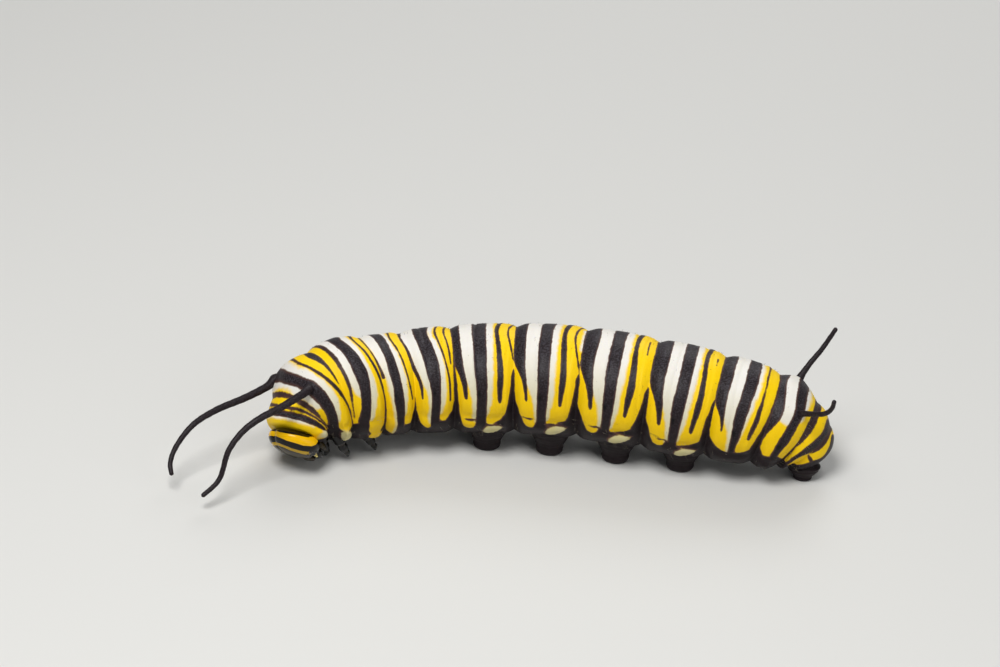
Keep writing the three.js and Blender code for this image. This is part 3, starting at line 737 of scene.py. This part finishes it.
# soft black horns: from the root on the skin outward, the same ways as the solids take
horns = [
    {
        "name": "filament_front_left", "segment": "thorax_2", "share": 0.27, "angle": 36,
        "way": [(-0.44, -0.9, 0.11), (-1.82, -2.05, -0.35), (-3.21, -3, -0.79), (-4.24, -3.75, -1.41),
                (-5.1, -4.65, -2.44), (-5.65, -5.6, -4.24), (-6.72, -6.6, -5.04)],
        "root": 0.3, "tip": 0.16, "rows": 130,
    },
    {
        "name": "filament_front_right", "segment": "thorax_2", "share": 0.28, "angle": -39,
        "way": [(-0.5, -0.58, -0.24), (-1.87, -1.67, -0.59), (-3.96, -3.22, -0.92), (-5.39, -4.53, -1.42),
                (-6.44, -5.73, -2.6), (-6.69, -6.53, -3.33), (-6.51, -7.23, -3.89)],
        "root": 0.3, "tip": 0.16, "rows": 130,
    },
    {
        "name": "filament_rear_left", "segment": "abdomen_8", "share": 0.62, "angle": 31,
        "way": [(0.51, -0.68, 0.46), (0.98, -1.18, 0.76), (1.62, -1.73, 1.19), (2, -2.13, 1.84),
                (2.11, -2.43, 2.68)],
        "root": 0.22, "tip": 0.155, "rows": 70,
    },
    {
        "name": "filament_rear_right", "segment": "abdomen_8", "share": 0.5, "angle": -36,
        "way": [(0.7, 0.73, 0.9), (1.45, 1.23, 1.79), (2.41, 1.83, 3.29)],
        "root": 0.23, "tip": 0.155, "rows": 70,
    },
]


def smoothWay(points, count):
    # a centripetal curve through the points, sampled evenly along its length
    points = np.array(points, float)
    ends = [2 * points[0] - points[1], *points, 2 * points[-1] - points[-2]]
    samples = []
    for p0, p1, p2, p3 in zip(ends, ends[1:], ends[2:], ends[3:]):
        t1 = math.sqrt(np.linalg.norm(p1 - p0))
        t2 = t1 + math.sqrt(np.linalg.norm(p2 - p1))
        t3 = t2 + math.sqrt(np.linalg.norm(p3 - p2))
        for t in np.linspace(t1, t2, 40, endpoint=False):
            a1 = p0 + (p1 - p0) * t / t1
            a2 = p1 + (p2 - p1) * (t - t1) / (t2 - t1)
            a3 = p2 + (p3 - p2) * (t - t2) / (t3 - t2)
            b1 = a1 + (a2 - a1) * t / t2
            b2 = a2 + (a3 - a2) * (t - t1) / (t3 - t1)
            samples.append(b1 + (b2 - b1) * (t - t1) / (t2 - t1))
    samples = np.array([*samples, points[-1]])
    reach = np.concatenate([[0], np.cumsum(np.linalg.norm(np.diff(samples, axis=0), axis=1))])
    even = np.linspace(0, reach[-1], count)
    return np.stack([np.interp(even, reach, samples[:, axis]) for axis in range(3)], -1), reach[-1]


def tubePlaces(points, radiusAt, samples=200):
    # places on a tube along a smooth way, with its tip rounded over and its root left open inside
    way, length = smoothWay(points, samples)
    tangents = np.gradient(way, axis=0)
    tangents /= np.linalg.norm(tangents, axis=1, keepdims=True)
    across = np.zeros_like(way)
    start = np.cross((0, 0, 1), tangents[0])
    for k, tangent in enumerate(tangents):
        start = start - tangent * (start @ tangent)
        start = start / np.linalg.norm(start)
        across[k] = start

    shares = np.linspace(0, 1, samples)

    def at(values, where):
        return np.stack([np.interp(where, shares, values[:, axis]) for axis in range(3)], -1)

    def places(down, angle):
        radius = radiusAt(down, angle)
        tipLength = radiusAt(np.ones(1), np.zeros(1))[0] / length
        past = np.clip((down - (1 - tipLength)) / tipLength, 0, 1)
        radius = radius * np.sqrt(np.maximum(0, 1 - past**2))
        radius = np.where(down <= 0, 0, radius)
        first, tangent = at(across, down), at(tangents, down)
        second = np.cross(tangent, first)
        ring = first * np.cos(angle)[:, None] + second * np.sin(angle)[:, None]
        return at(way, down) + ring * radius[:, None]

    return places, length


def makeHorn(horn):
    along = alongOf(horn["segment"], horn["share"])
    angle = math.radians(horn["angle"])
    onSkin = skinPoint(np.array(along), np.array(angle))
    inside = skinPoint(np.array(along), np.array(angle), -0.7)
    points = [inside, onSkin, *(onSkin + np.array(offset) for offset in horn["way"])]
    lead = 0.7

    def radiusAt(down, angle):
        taper = horn["root"] + (horn["tip"] - horn["root"]) * down
        flare = 0.3 * bell(np.maximum(0, down * length - lead), 0.55)
        grain = 0.025 * np.sin(down * length * 9 + 1.3 * np.sin(angle))
        grain = grain + 0.02 * np.sin(down * length * 23 + 2 * angle)
        return taper * (1 + grain * np.clip(down * 12, 0, 1)) * (1 + flare)

    _, length = tubePlaces(points, lambda down, angle: np.full(down.shape, horn["tip"]))
    places, _ = tubePlaces(points, radiusAt)

    def placesAndValues(down, angle):
        return places(down, angle), allBlack(down, 0.6)

    return rolledGrid(horn["name"], horn["rows"], 20, placesAndValues, (length * mm, 2 * mm))


def skinMaterial():
    # chitin skin of a larva: soft, matt and waxy, with a faint grain that breaks the light up
    material, tree, shader = newMaterial("bandedSkin", {
        "Roughness": 0.48,
        "IOR": 1.4,
        "Specular IOR Level": 0.3,
        "Subsurface Weight": 0.06,
        "Subsurface Radius": (0.4 * mm, 0.3 * mm, 0.12 * mm),
        "Subsurface Scale": 1.0,
    })
    black, white, low, pit = (
        addNode(tree, "Attribute", output="Fac", attribute_name=name)
        for name in ("blackDepth", "whiteDepth", "low", "pit")
    )
    place = addNode(tree, "TexCoord", output="Object")
    # grain of 0.12 mm frays the edges of the black by about 0.02 mm, slow waves of 0.45 mm bend them
    # a little, and the last node takes the mean of both off again
    fray, waves, blotch, specks = (
        addNode(tree, "TexNoise", {"Vector": place, "Scale": 1 / (size * mm), "Detail": detail}, "Fac")
        for size, detail in ((0.12, 3), (0.45, 1), (0.5, 4), (0.11, 4))
    )
    edge = addNode(tree, "Math", {0: fray, 1: 0.05, 2: black}, operation="MULTIPLY_ADD")
    edge = addNode(tree, "Math", {0: waves, 1: 0.09, 2: edge}, operation="MULTIPLY_ADD")
    edge = addNode(tree, "Math", {0: edge, 1: 0.07}, operation="SUBTRACT")
    # the ground: yellow and white, both mottled, and both painted duller low on the flank, partly their own
    # deeper tone there and partly painted shade under the body
    mottled = addNode(tree, "Math", {0: blotch, 1: 0.3}, operation="MULTIPLY")
    yellow = addNode(tree, "Mix", {0: low, 6: "#FFD500", 7: "#E0B900"}, **ofColours)
    yellow = addNode(tree, "Mix", {0: mottled, 6: yellow, 7: "#EDBB00"}, **ofColours)
    pale = addNode(tree, "Mix", {0: low, 6: "#EEEAE2", 7: "#C2B87C"}, **ofColours)
    pale = addNode(tree, "Mix", {0: mottled, 6: pale, 7: "#DAD4C8"}, **ofColours)
    wander = addNode(tree, "Math", {0: blotch, 1: 0.3, 2: white}, operation="MULTIPLY_ADD")
    onWhite = addNode(tree, "MapRange", {"Value": wander, "From Min": 0.03, "From Max": 0.27}, **smoothly)
    light = addNode(tree, "Mix", {0: onWhite, 6: yellow, 7: pale}, **ofColours)
    onRim = addNode(tree, "MapRange", {"Value": edge, "From Min": -0.055, "From Max": 0.005}, **smoothly)
    rim = addNode(tree, "Mix", {0: onRim, 6: light, 7: "#5A3A28"}, **ofColours)
    # painted sheen: the black on the back is flecked with grey specks 0.1 mm across, painted as the sheen of
    # light glancing off it; the black also turns brown over the last
    # 0.08 mm to its edges
    paintedSheen = addNode(tree, "MapRange", {"Value": specks, "From Min": 0.42, "From Max": 0.75, "To Max": 0.85})
    back = addNode(tree, "Math", {0: 1, 1: low}, operation="SUBTRACT")
    paintedSheen = addNode(tree, "Math", {0: paintedSheen, 1: back}, operation="MULTIPLY")
    dark = addNode(tree, "Mix", {0: blotch, 6: "#0F080A", 7: "#22161A"}, **ofColours)
    dark = addNode(tree, "Mix", {0: paintedSheen, 6: dark, 7: "#4C484E"}, **ofColours)
    inDeep = addNode(tree, "MapRange", {"Value": edge, "From Min": 0.02, "From Max": 0.12}, **smoothly)
    dark = addNode(tree, "Mix", {0: inDeep, 6: "#45302E", 7: dark}, **ofColours)
    dark = addNode(tree, "Mix", {0: pit, 6: dark, 7: "#020202"}, **ofColours)
    onBlack = addNode(tree, "MapRange", {"Value": edge, "From Min": -0.01, "From Max": 0.034}, **smoothly)
    colour = addNode(tree, "Mix", {0: onBlack, 6: rim, 7: dark}, **ofColours)
    tree.links.new(colour, shader.inputs["Base Color"])
    # pores and goose-flesh about 0.09 mm apart over folds of half a millimetre
    pores = addNode(tree, "TexVoronoi", {"Vector": place, "Scale": 1 / (0.09 * mm)}, "Distance")
    fine = addNode(tree, "Bump", {"Strength": 0.45, "Distance": 0.02 * mm, "Height": pores})
    folds = addNode(
        tree, "Bump", {"Strength": 0.35, "Distance": 0.05 * mm, "Height": blotch, "Normal": fine}
    )
    tree.links.new(folds, shader.inputs["Normal"])
    return material


# the head: two round lobes that meet in a groove, with the frons sunk between them
head = {
    "halfWidth": 1.96,
    "crown": 2.1,
    "chin": 1.4,
    "face": 1.09,
    "nape": 0.72,
    "yaw": 70,
    "pitch": -49,
    "roll": -42,
    "ahead": 0.46,
    "aside": 0.4,
    "rise": -0.3,
}
headForward, headUp, headLeft = axesOf(*(np.array(float(head[key])) for key in ("yaw", "pitch", "roll")))
headCentre = linePoint(0.0) + headForward * head["ahead"] + headLeft * head["aside"] + headUp * head["rise"]

# the yellow bands of one half of the face, as outlines: degrees round from the crown, and
# degrees down from the middle of the face
faceBands = {
    "outer": [
        (-20, 78), (15, 78), (18, 76), (28, 74), (40, 70), (75, 70), (83, 74), (93, 79), (103, 88),
        (109, 104), (115, 114), (119, 125), (119, 134), (116, 138), (98, 134), (86, 124), (80, 112),
        (72, 109), (63, 106), (48, 101), (35, 97), (18, 97), (15, 99), (-20, 99),
    ],
    "inner": [
        (-20, 57), (0, 57), (20, 54), (30, 51), (41, 49), (54, 46), (67, 47), (80, 49), (92, 54),
        (102, 59), (110, 52), (110, 44), (86, 37), (66, 35), (46, 36), (30, 41), (10, 45), (-20, 46),
    ],
}
# six simple eyes on each cheek, five in an arc and one below them
stemmata = {"radius": 0.16, "arcRadius": 0.42, "arcPolar": 1.02, "arcAround": 2.02}


def headPlace(forward, up, left):
    forward, up, left = (np.asarray(value, float)[..., None] for value in (forward, up, left))
    return headCentre + headForward * forward + headUp * up + headLeft * left


def headPoint(polar, around, outward=0.0):
    spread = np.maximum(np.sin(polar), 0) ** 0.82
    aside = np.abs((around + math.pi) % (2 * math.pi) - math.pi)
    onCrown = bell(polar - 1.25, 0.75)
    size = 1 - 0.08 * bell(aside, 0.13) * onCrown + 0.03 * bell(aside - 0.7, 0.5)
    left = (head["halfWidth"] + outward) * spread * size * np.sin(around)
    c = np.cos(around)
    up = (np.where(c > 0, head["crown"], head["chin"]) + outward) * spread * size * c
    depth = np.cos(polar)
    forward = (np.where(depth > 0, head["face"], head["nape"]) + outward) * depth
    triangle = 0.62 * np.clip((0.45 - up) / 1.3, 0, 1) - np.abs(left)
    sunk = np.clip((triangle + 0.12) / 0.24, 0, 1)
    forward = np.where(depth > 0, forward - 0.09 * sunk**2 * (3 - 2 * sunk), forward)
    return headPlace(forward, up, left)


def outlineDepth(points, x, y):
    # how far inside a closed outline, negative outside it
    sides = list(zip(points, points[1:] + points[:1]))
    nearest = np.min([fromStretch(x, y, start, end) for start, end in sides], 0)
    inside = np.zeros(x.shape, bool)
    for (x0, y0), (x1, y1) in sides:
        if y0 != y1:
            inside ^= ((y0 > y) != (y1 > y)) & (x < (x1 - x0) * (y - y0) / (y1 - y0) + x0)
    return np.where(inside, nearest, -nearest)


def makeHead():
    perDegree = math.radians(1) * head["halfWidth"]

    def places(down, angle):
        polar = down * math.pi
        x, y = np.abs(np.degrees(angle)), np.degrees(polar)
        values = {}
        for name, points in faceBands.items():
            values[name + "Yellow"] = outlineDepth(points, x, y) * perDegree
        values["frons"] = (np.interp(x, (0, 30, 66, 110, 140, 180), (44, 38, 33, 42, 46, 50)) - y) * perDegree
        return headPoint(polar, angle), values

    return rolledGrid("headCapsule", 180, 200, places, (4 * mm, 10 * mm))


def makeStemmata():
    # each a glassy dome set into the cheek, about a third of it proud
    domes = []
    for side in (1, -1):
        spots = [
            (
                stemmata["arcPolar"] - stemmata["arcRadius"] * math.cos(turn) / head["face"],
                side * (stemmata["arcAround"] + stemmata["arcRadius"] * math.sin(turn) / head["halfWidth"]),
            )
            for turn in (-1.5, -0.75, 0, 0.75, 1.5)
        ]
        spots.append((stemmata["arcPolar"] + 0.12, side * (stemmata["arcAround"] + 0.12)))
        for polar, around in spots:
            where = headPoint(np.array(polar), np.array(around), -0.07) * mm
            deselectAll()
            bpy.ops.mesh.primitive_uv_sphere_add(
                segments=20, ring_count=12, radius=stemmata["radius"] * mm, location=where
            )
            bpy.ops.object.shade_smooth()
            domes.append(bpy.context.object)
    return joined(domes, "stemmata")


def headMaterial():
    # hardened chitin like polished horn: smooth and glossy, black with yellow bands under the gloss
    values = {"Roughness": 0.2, "IOR": 1.5, "Specular IOR Level": 0.3}
    material, tree, shader = newMaterial("headShell", values)
    place = addNode(tree, "TexCoord", output="Object")
    # shallow dimples about 0.15 mm apart
    grain = addNode(tree, "TexNoise", {"Vector": place, "Scale": 1 / (0.15 * mm), "Detail": 3}, "Fac")
    mottled = addNode(tree, "Math", {0: grain, 1: 0.5}, operation="MULTIPLY")
    bright = addNode(tree, "Mix", {0: mottled, 6: "#F2BC00", 7: "#D8A200"}, **ofColours)
    colour = "#060405"
    # the inner band is painted a darker gold than the outer one, partly its own tone and partly painted shade
    # on the lower face
    bands = (("frons", 0.08, "#332A10"), ("innerYellow", 0.03, "#C09A12"), ("outerYellow", 0.03, bright))
    for name, reach, paint in bands:
        depth = addNode(tree, "Attribute", output="Fac", attribute_name=name)
        ends = {"From Min": -reach, "From Max": reach}
        inside = addNode(tree, "MapRange", {"Value": depth, **ends}, **smoothly)
        colour = addNode(tree, "Mix", {0: inside, 6: colour, 7: paint}, **ofColours)
    tree.links.new(colour, shader.inputs["Base Color"])
    bump = addNode(tree, "Bump", {"Strength": 0.2, "Distance": 0.02 * mm, "Height": grain})
    tree.links.new(bump, shader.inputs["Normal"])
    return material


def eyeMaterial():
    # a bead of dark glass: deep brown-black under a mirror-smooth surface
    material, tree, shader = newMaterial("eyeGlass", {"Roughness": 0.06, "IOR": 1.55, "Coat Weight": 0.6})
    # brown clouds about 0.15 mm across, deep in the glass
    place = addNode(tree, "TexCoord", output="Object")
    clouds = addNode(tree, "TexNoise", {"Vector": place, "Scale": 1 / (0.15 * mm), "Detail": 2}, "Fac")
    colour = addNode(tree, "Mix", {0: clouds, 6: "#0A0707", 7: "#1C120E"}, **ofColours)
    tree.links.new(colour, shader.inputs["Base Color"])
    return material


# hard jointed pieces: ways in millimetres, and rings as share of the way and radius
mouthTubes = {
    "maxilla": {
        "way": [(-0.3, -1, 0.72), (-0.2, -1.5, 0.72), (-0.05, -1.9, 0.58)],
        "rings": [(0, 0.3), (0.25, 0.29), (0.3, 0.23), (0.34, 0.25), (0.56, 0.23), (0.6, 0.17), (0.64, 0.19),
                  (0.84, 0.16), (0.87, 0.1), (0.9, 0.1), (1, 0.05)],
    },
    "antenna": {
        "way": [(0.42, -0.6, 1.1), (0.58, -0.86, 1.24), (0.7, -1.1, 1.28)],
        "rings": [(0, 0.22), (0.4, 0.2), (0.44, 0.13), (0.48, 0.14), (0.68, 0.12), (0.71, 0.08), (0.74, 0.09),
                  (0.93, 0.07), (0.96, 0.03), (1, 0.02)],
    },
    "labium": {
        "way": [(-0.3, -1, 0), (-0.25, -1.5, 0), (-0.1, -1.95, 0)],
        "rings": [(0, 0.3), (0.4, 0.28), (0.6, 0.2), (0.66, 0.12), (0.9, 0.08), (1, 0.05)],
    },
}
walkingLegs = {
    "legs": [  # segment, share of its length, hip angle, foot aside and behind
        ("thorax_1", 0.8, 148, 1.35, 1.35),
        ("thorax_2", 0.6, 145, 2.05, 1.4),
        ("thorax_3", 0.6, 143, 1.95, 1.1),
    ],
    "rings": [  # thick hip ring, shin, ankle and foot, each waisted at its joint
        (0, 0.5), (0.27, 0.42), (0.3, 0.34), (0.33, 0.3), (0.36, 0.33), (0.45, 0.33), (0.55, 0.26),
        (0.58, 0.2), (0.61, 0.19), (0.64, 0.22), (0.7, 0.22), (0.8, 0.15), (0.83, 0.12), (0.86, 0.12),
        (0.9, 0.12), (1, 0.05),
    ],
}


def makeJointed(name, points, rings, rows=90, columns=24):
    # a tube with waists at its joints; "joint" tells the material where the pale membrane shows
    shares, radii = (np.array(column) for column in zip(*rings))

    def radiusAt(down, angle):
        return np.interp(down, shares, radii)

    along, length = tubePlaces(points, radiusAt)
    slope = np.gradient(np.interp(np.linspace(0, 1, 400), shares, radii), length / 399)
    smoothSlope = np.convolve(slope, np.ones(9) / 9, "same")
    dips = np.gradient(smoothSlope, length / 399)

    def places(down, angle):
        where = along(down, angle)
        where[:, 2] = np.maximum(where[:, 2], 0.01)
        return where, {"joint": np.interp(down, np.linspace(0, 1, 400), np.clip(dips * 0.3, 0, 0.8))}

    return rolledGrid(name, rows, columns, places, (length * mm, 2 * mm))


def makeWalkingLeg(number, side):
    segment, share, hip, aside, behindBy = walkingLegs["legs"][number - 1]
    along = alongOf(segment, share)
    centre = linePoint(along)
    level, outward = levelAxes(along)

    def place(out, back, height):
        where = centre + outward * side * out - level * back
        return np.array((where[0], where[1], height))

    hipPoint = skinPoint(np.array(along), np.array(side * math.radians(hip)), -0.5)
    points = [
        hipPoint,
        place(aside + 0.3, behindBy * 0.45, max(0.9, hipPoint[2] * 0.6)),
        place(aside + 0.25, behindBy * 0.8, 0.6),
        place(aside - 0.05, behindBy, 0.1),
    ]
    foot = points[-1]
    claw = [
        foot + (0, 0, 0.1),
        foot + outward * side * 0.06 + (0, 0, 0.04),
        foot - outward * side * 0.12 - (0, 0, 0.05),
    ]
    leg = makeJointed("leg", points, walkingLegs["rings"])
    hook = makeJointed("claw", claw, [(0, 0.06), (0.6, 0.045), (1, 0.015)], 16, 12)
    return joined([leg, hook], "leg_%d_%s" % (number, "left" if side > 0 else "right"))


def makeLabrum():
    # the upper lip: a shallow plate with a round notch in its lower edge
    def places(down, angle):
        polar = down * math.pi
        left = 0.66 * np.sin(polar) * np.sin(angle)
        notch = 0.26 * bell(left, 0.16) * (np.cos(angle) < 0)
        up = 0.38 * np.sin(polar) * np.cos(angle) * (1 - notch / 0.42)
        return headPlace(0.8 + 0.2 * np.cos(polar), -1.16 + up, left), {"joint": np.zeros(down.shape)}

    return rolledGrid("labrum", 28, 48, places, (1 * mm, 3 * mm))


def makeMandible(side):
    # a jaw: a stout block whose lower edge is cut into five blunt teeth
    def places(down, angle):
        polar = down * math.pi
        low = np.clip(-np.cos(angle), 0, 1) * np.sin(polar)
        teeth = 0.07 * low**2 * np.cos(np.cos(polar) * 12)
        forward = 0.36 * np.sign(np.cos(polar)) * np.abs(np.cos(polar)) ** 0.8
        up = (0.5 + teeth) * np.sin(polar) * np.cos(angle)
        left = 0.34 * np.sin(polar) * np.sin(angle) * (1 - 0.45 * low)
        return headPlace(0.36 + forward, -1.36 + up, side * (0.5 + left)), {"joint": np.zeros(down.shape)}

    return rolledGrid("mandible_" + ("left" if side > 0 else "right"), 48, 40, places, (1 * mm, 3 * mm))


def shellMaterial(name, colours, roughness):
    # the same hard chitin in one tone, a little mottled, with brown membrane at the joints
    values = {"Roughness": roughness, "IOR": 1.5, "Specular IOR Level": 0.35}
    material, tree, shader = newMaterial(name, values)
    place = addNode(tree, "TexCoord", output="Object")
    grain = addNode(tree, "TexNoise", {"Vector": place, "Scale": 1 / (0.2 * mm), "Detail": 3}, "Fac")
    joint = addNode(tree, "Attribute", output="Fac", attribute_name="joint")
    colour = addNode(tree, "Mix", {0: grain, 6: colours[0], 7: colours[1]}, **ofColours)
    colour = addNode(tree, "Mix", {0: joint, 6: colour, 7: "#241B12"}, **ofColours)
    tree.links.new(colour, shader.inputs["Base Color"])
    bump = addNode(tree, "Bump", {"Strength": 0.2, "Distance": 0.02 * mm, "Height": grain})
    tree.links.new(bump, shader.inputs["Normal"])
    return material


# short stiff hairs, standing singly: dark specks over the back, and longer pale ones along the
# flanks, round the hips and on the tail; millimetres
setae = {
    "back": {"count": 420, "length": 0.13, "root": 0.012, "from": 5, "to": 92, "lean": 0.5},
    "flank": {"count": 320, "length": 0.3, "root": 0.008, "from": 96, "to": 150, "lean": 0.7},
    "tail": {"count": 60, "length": 0.34, "root": 0.008, "from": 30, "to": 125, "lean": 0.5},
}


def oneHair():
    # a four-sided spike one unit long and wide, in three lengths so that it can bend
    deselectAll()
    bpy.ops.mesh.primitive_cone_add(vertices=4, radius1=1, radius2=0.1, depth=1, location=(0, 0, 0.5))
    hair = bpy.context.object
    bpy.ops.object.transform_apply(location=True, rotation=True, scale=True)
    bpy.ops.object.mode_set(mode="EDIT")
    for height in (0.35, 0.7):
        bpy.ops.mesh.select_all(action="SELECT")
        bpy.ops.mesh.bisect(plane_co=(0, 0, height), plane_no=(0, 0, 1))
    bpy.ops.object.mode_set(mode="OBJECT")
    corners = readPlaces(hair)
    faces = [tuple(face.vertices) for face in hair.data.polygons]
    bpy.data.objects.remove(hair)
    return corners, faces


def makeSetae(kind, name):
    settings = setae[kind]
    corners, faces = oneHair()
    count = settings["count"]
    start = 0.93 if kind == "tail" else 0.02
    along = draw.uniform(start, 0.985, count) * bodyLength
    angle = np.radians(draw.uniform(settings["from"], settings["to"], count)) * draw.choice((-1, 1), count)
    step = 0.01
    root = skinPoint(along, angle, skinRelief(along, angle))
    rearward = skinPoint(along + step, angle, skinRelief(along + step, angle)) - root
    sideways = skinPoint(along, angle + step, skinRelief(along, angle + step)) - root
    normal = np.cross(rearward, sideways)
    normal /= np.linalg.norm(normal, axis=1, keepdims=True)
    normal *= np.sign((normal * (root - linePoint(along))).sum(1))[:, None]
    rearward /= np.linalg.norm(rearward, axis=1, keepdims=True)
    across = np.cross(normal, rearward)
    tilt = settings["lean"] * (rearward + 0.5 * draw.normal(size=(count, 1)) * across)
    length = settings["length"] * draw.uniform(0.6, 1.25, (count, 1))
    places = np.zeros((count, len(corners), 3))
    for k, (x, y, z) in enumerate(corners):
        stem = root + normal * (z - 0.08) * length + tilt * length * z**2
        places[:, k] = stem + (rearward * x + across * y) * settings["root"]
    places[:, :, 2] = np.maximum(places[:, :, 2], 0)
    whole = [tuple(v + k * len(corners) for v in face) for k in range(count) for face in faces]
    mesh = bpy.data.meshes.new(name)
    mesh.from_pydata((places.reshape(-1, 3) * mm).tolist(), [], whole)
    mesh.update()
    # each hair bakes from a patch 0.003 across at its root's place on the skin's own map
    centre = np.stack([along / bodyLength, angle / (2 * math.pi) + 0.5], -1) * 0.99 + 0.004
    loops = np.zeros(len(mesh.loops), np.int32)
    mesh.loops.foreach_get("vertex_index", loops)
    local = corners[loops % len(corners)]
    spread = np.stack([local[:, 0] * 0.4 + local[:, 2] - 0.5, local[:, 1]], -1) * 0.0014
    layer = mesh.uv_layers.new(name="OFBake")
    layer.data.foreach_set("uv", (centre[loops // len(corners)] + spread).astype(np.float32).ravel())
    piece = bpy.data.objects.new(name, mesh)
    bpy.context.scene.collection.objects.link(piece)
    deselectAll()
    piece.select_set(True)
    bpy.context.view_layer.objects.active = piece
    bpy.ops.object.shade_smooth()
    return piece


def hairMaterial(name, darker, lighter):
    # dry bristle: thin chitin, horny and a little glossy, mottled along its length
    material, tree, shader = newMaterial(name, {"Roughness": 0.4, "IOR": 1.53})
    place = addNode(tree, "TexCoord", output="Object")
    grain = addNode(tree, "TexNoise", {"Vector": place, "Scale": 1 / (0.1 * mm), "Detail": 2}, "Fac")
    colour = addNode(tree, "Mix", {0: grain, 6: darker, 7: lighter}, **ofColours)
    tree.links.new(colour, shader.inputs["Base Color"])
    return material


view = {
    "target": (2.8, 3.73, 4.15),
    "elevation": 30,
    "roll": 3.5,
    "distance": 300,
    "lens": 154.3,
    "slide": (-3.36, 3.885),  # moves the middle of the picture off the target
}


def makeCamera():
    lift, turn = math.radians(view["elevation"]), math.radians(view["roll"])
    toward = Vector((0, -math.cos(lift), math.sin(lift)))
    flat, steep = Vector((1, 0, 0)), Vector((0, math.sin(lift), math.cos(lift)))
    right = math.cos(turn) * flat + math.sin(turn) * steep
    up = math.cos(turn) * steep - math.sin(turn) * flat
    data = bpy.data.cameras.new("camera")
    data.lens = view["lens"]
    data.sensor_width = 36
    data.clip_start, data.clip_end = 0.01, 10
    camera = bpy.data.objects.new("camera", data)
    bpy.context.scene.collection.objects.link(camera)
    aside, higher = view["slide"]
    where = Vector(view["target"]) + view["distance"] * toward + aside * right + higher * up
    camera.matrix_world = Matrix((
        (right[0], up[0], toward[0], where[0] * mm),
        (right[1], up[1], toward[1], where[1] * mm),
        (right[2], up[2], toward[2], where[2] * mm),
        (0, 0, 0, 1),
    ))
    bpy.context.scene.camera = camera


def makeFloor():
    deselectAll()
    bpy.ops.mesh.primitive_plane_add(size=2, location=(0, 0, -0.00002))
    floor = bpy.context.object
    floor.name = "floor"
    # matt painted board: pale and even, so that only the animal draws the eye
    material, _, _ = newMaterial("paleBoard", {"Base Color": toLinear("#D9D8D4"), "Roughness": 0.7})
    floor.data.materials.append(material)


def makeLights():
    lamps = [  # place in millimetres, size, power
        ((-50, -90, 200), 110, 0.4),
        ((130, -120, 110), 160, 0.07),
        ((40, 170, 150), 140, 0.14),
    ]
    for number, (place, size, power) in enumerate(lamps):
        data = bpy.data.lights.new("lamp%d" % number, "AREA")
        data.shape = "DISK"
        data.size = size * mm
        data.energy = power
        lamp = bpy.data.objects.new("lamp%d" % number, data)
        lamp.location = Vector(place) * mm
        lamp.rotation_mode = "QUATERNION"
        lamp.rotation_quaternion = (Vector((0, 0, 0.004)) - lamp.location).to_track_quat("-Z", "Y")
        bpy.context.scene.collection.objects.link(lamp)
    world = bpy.data.worlds.new("world")
    world.use_nodes = True
    world.node_tree.nodes["Background"].inputs["Color"].default_value = toLinear("#E8EBEE")
    world.node_tree.nodes["Background"].inputs["Strength"].default_value = 0.22
    bpy.context.scene.world = world
    bpy.context.scene.view_settings.view_transform = "Standard"


print("camera and lights")
makeCamera()
makeFloor()
makeLights()

print("skin")
banded = skinMaterial()
skinPieces = [makeSkin()]
skinNodes = list(segmentNames)
for leg in softLegs["legs"]:
    for side in (1, -1):
        piece, name = makeSoftLeg(*leg, side)
        skinPieces.append(piece)
        skinNodes.append(name)
for horn in horns:
    skinPieces.append(makeHorn(horn))
    skinNodes.append(horn["name"])
skin = joined(skinPieces, "skin")
finished(skin, "skin", skinNodes, [banded])

print("head")
finished(makeHead(), "headCapsule", ["head"], [headMaterial()])
finished(makeStemmata(), "stemmata", [], [eyeMaterial()])

print("fine hairs")
darkHair = hairMaterial("darkHair", "#171112", "#3A2C26")
paleHair = hairMaterial("paleHair", "#6E6350", "#CFC6B0")
for kind, hairStuff in (("back", darkHair), ("flank", paleHair), ("tail", paleHair)):
    finished(makeSetae(kind, kind + "Hairs"), kind + "Hairs", [], [hairStuff])

print("mouthparts and legs")
blackShell = shellMaterial("blackShell", ("#040303", "#0C0A0B"), 0.13)
# the amber shell of the mouthparts is painted darker than the chitin, partly its own dark tone and partly
# painted shade under the head
amberShellWithPaintedShade = shellMaterial("amberShellWithPaintedShade", ("#171208", "#3A2E12"), 0.2)
paleShell = shellMaterial("paleShell", ("#C9B25A", "#E6D68C"), 0.35)


def makeMouthTube(name, kind, side=1):
    way = [headPlace(forward, up, side * left) for forward, up, left in mouthTubes[kind]["way"]]
    return makeJointed(name, way, mouthTubes[kind]["rings"])


for side, word in ((1, "left"), (-1, "right")):
    for kind, stuff in (("maxilla", amberShellWithPaintedShade), ("antenna", paleShell)):
        name = kind + "_" + word
        finished(makeMouthTube(name, kind, side), name + "Shell", [name], [stuff])
    name = "mandible_" + word
    finished(makeMandible(side), name + "Shell", [name], [blackShell])
    for number in (1, 2, 3):
        name = "leg_%d_%s" % (number, word)
        finished(makeWalkingLeg(number, side), name + "Shell", [name], [blackShell])
finished(makeMouthTube("labium", "labium"), "labiumShell", ["labium"], [amberShellWithPaintedShade])
finished(makeLabrum(), "labrumShell", ["labrum"], [amberShellWithPaintedShade])
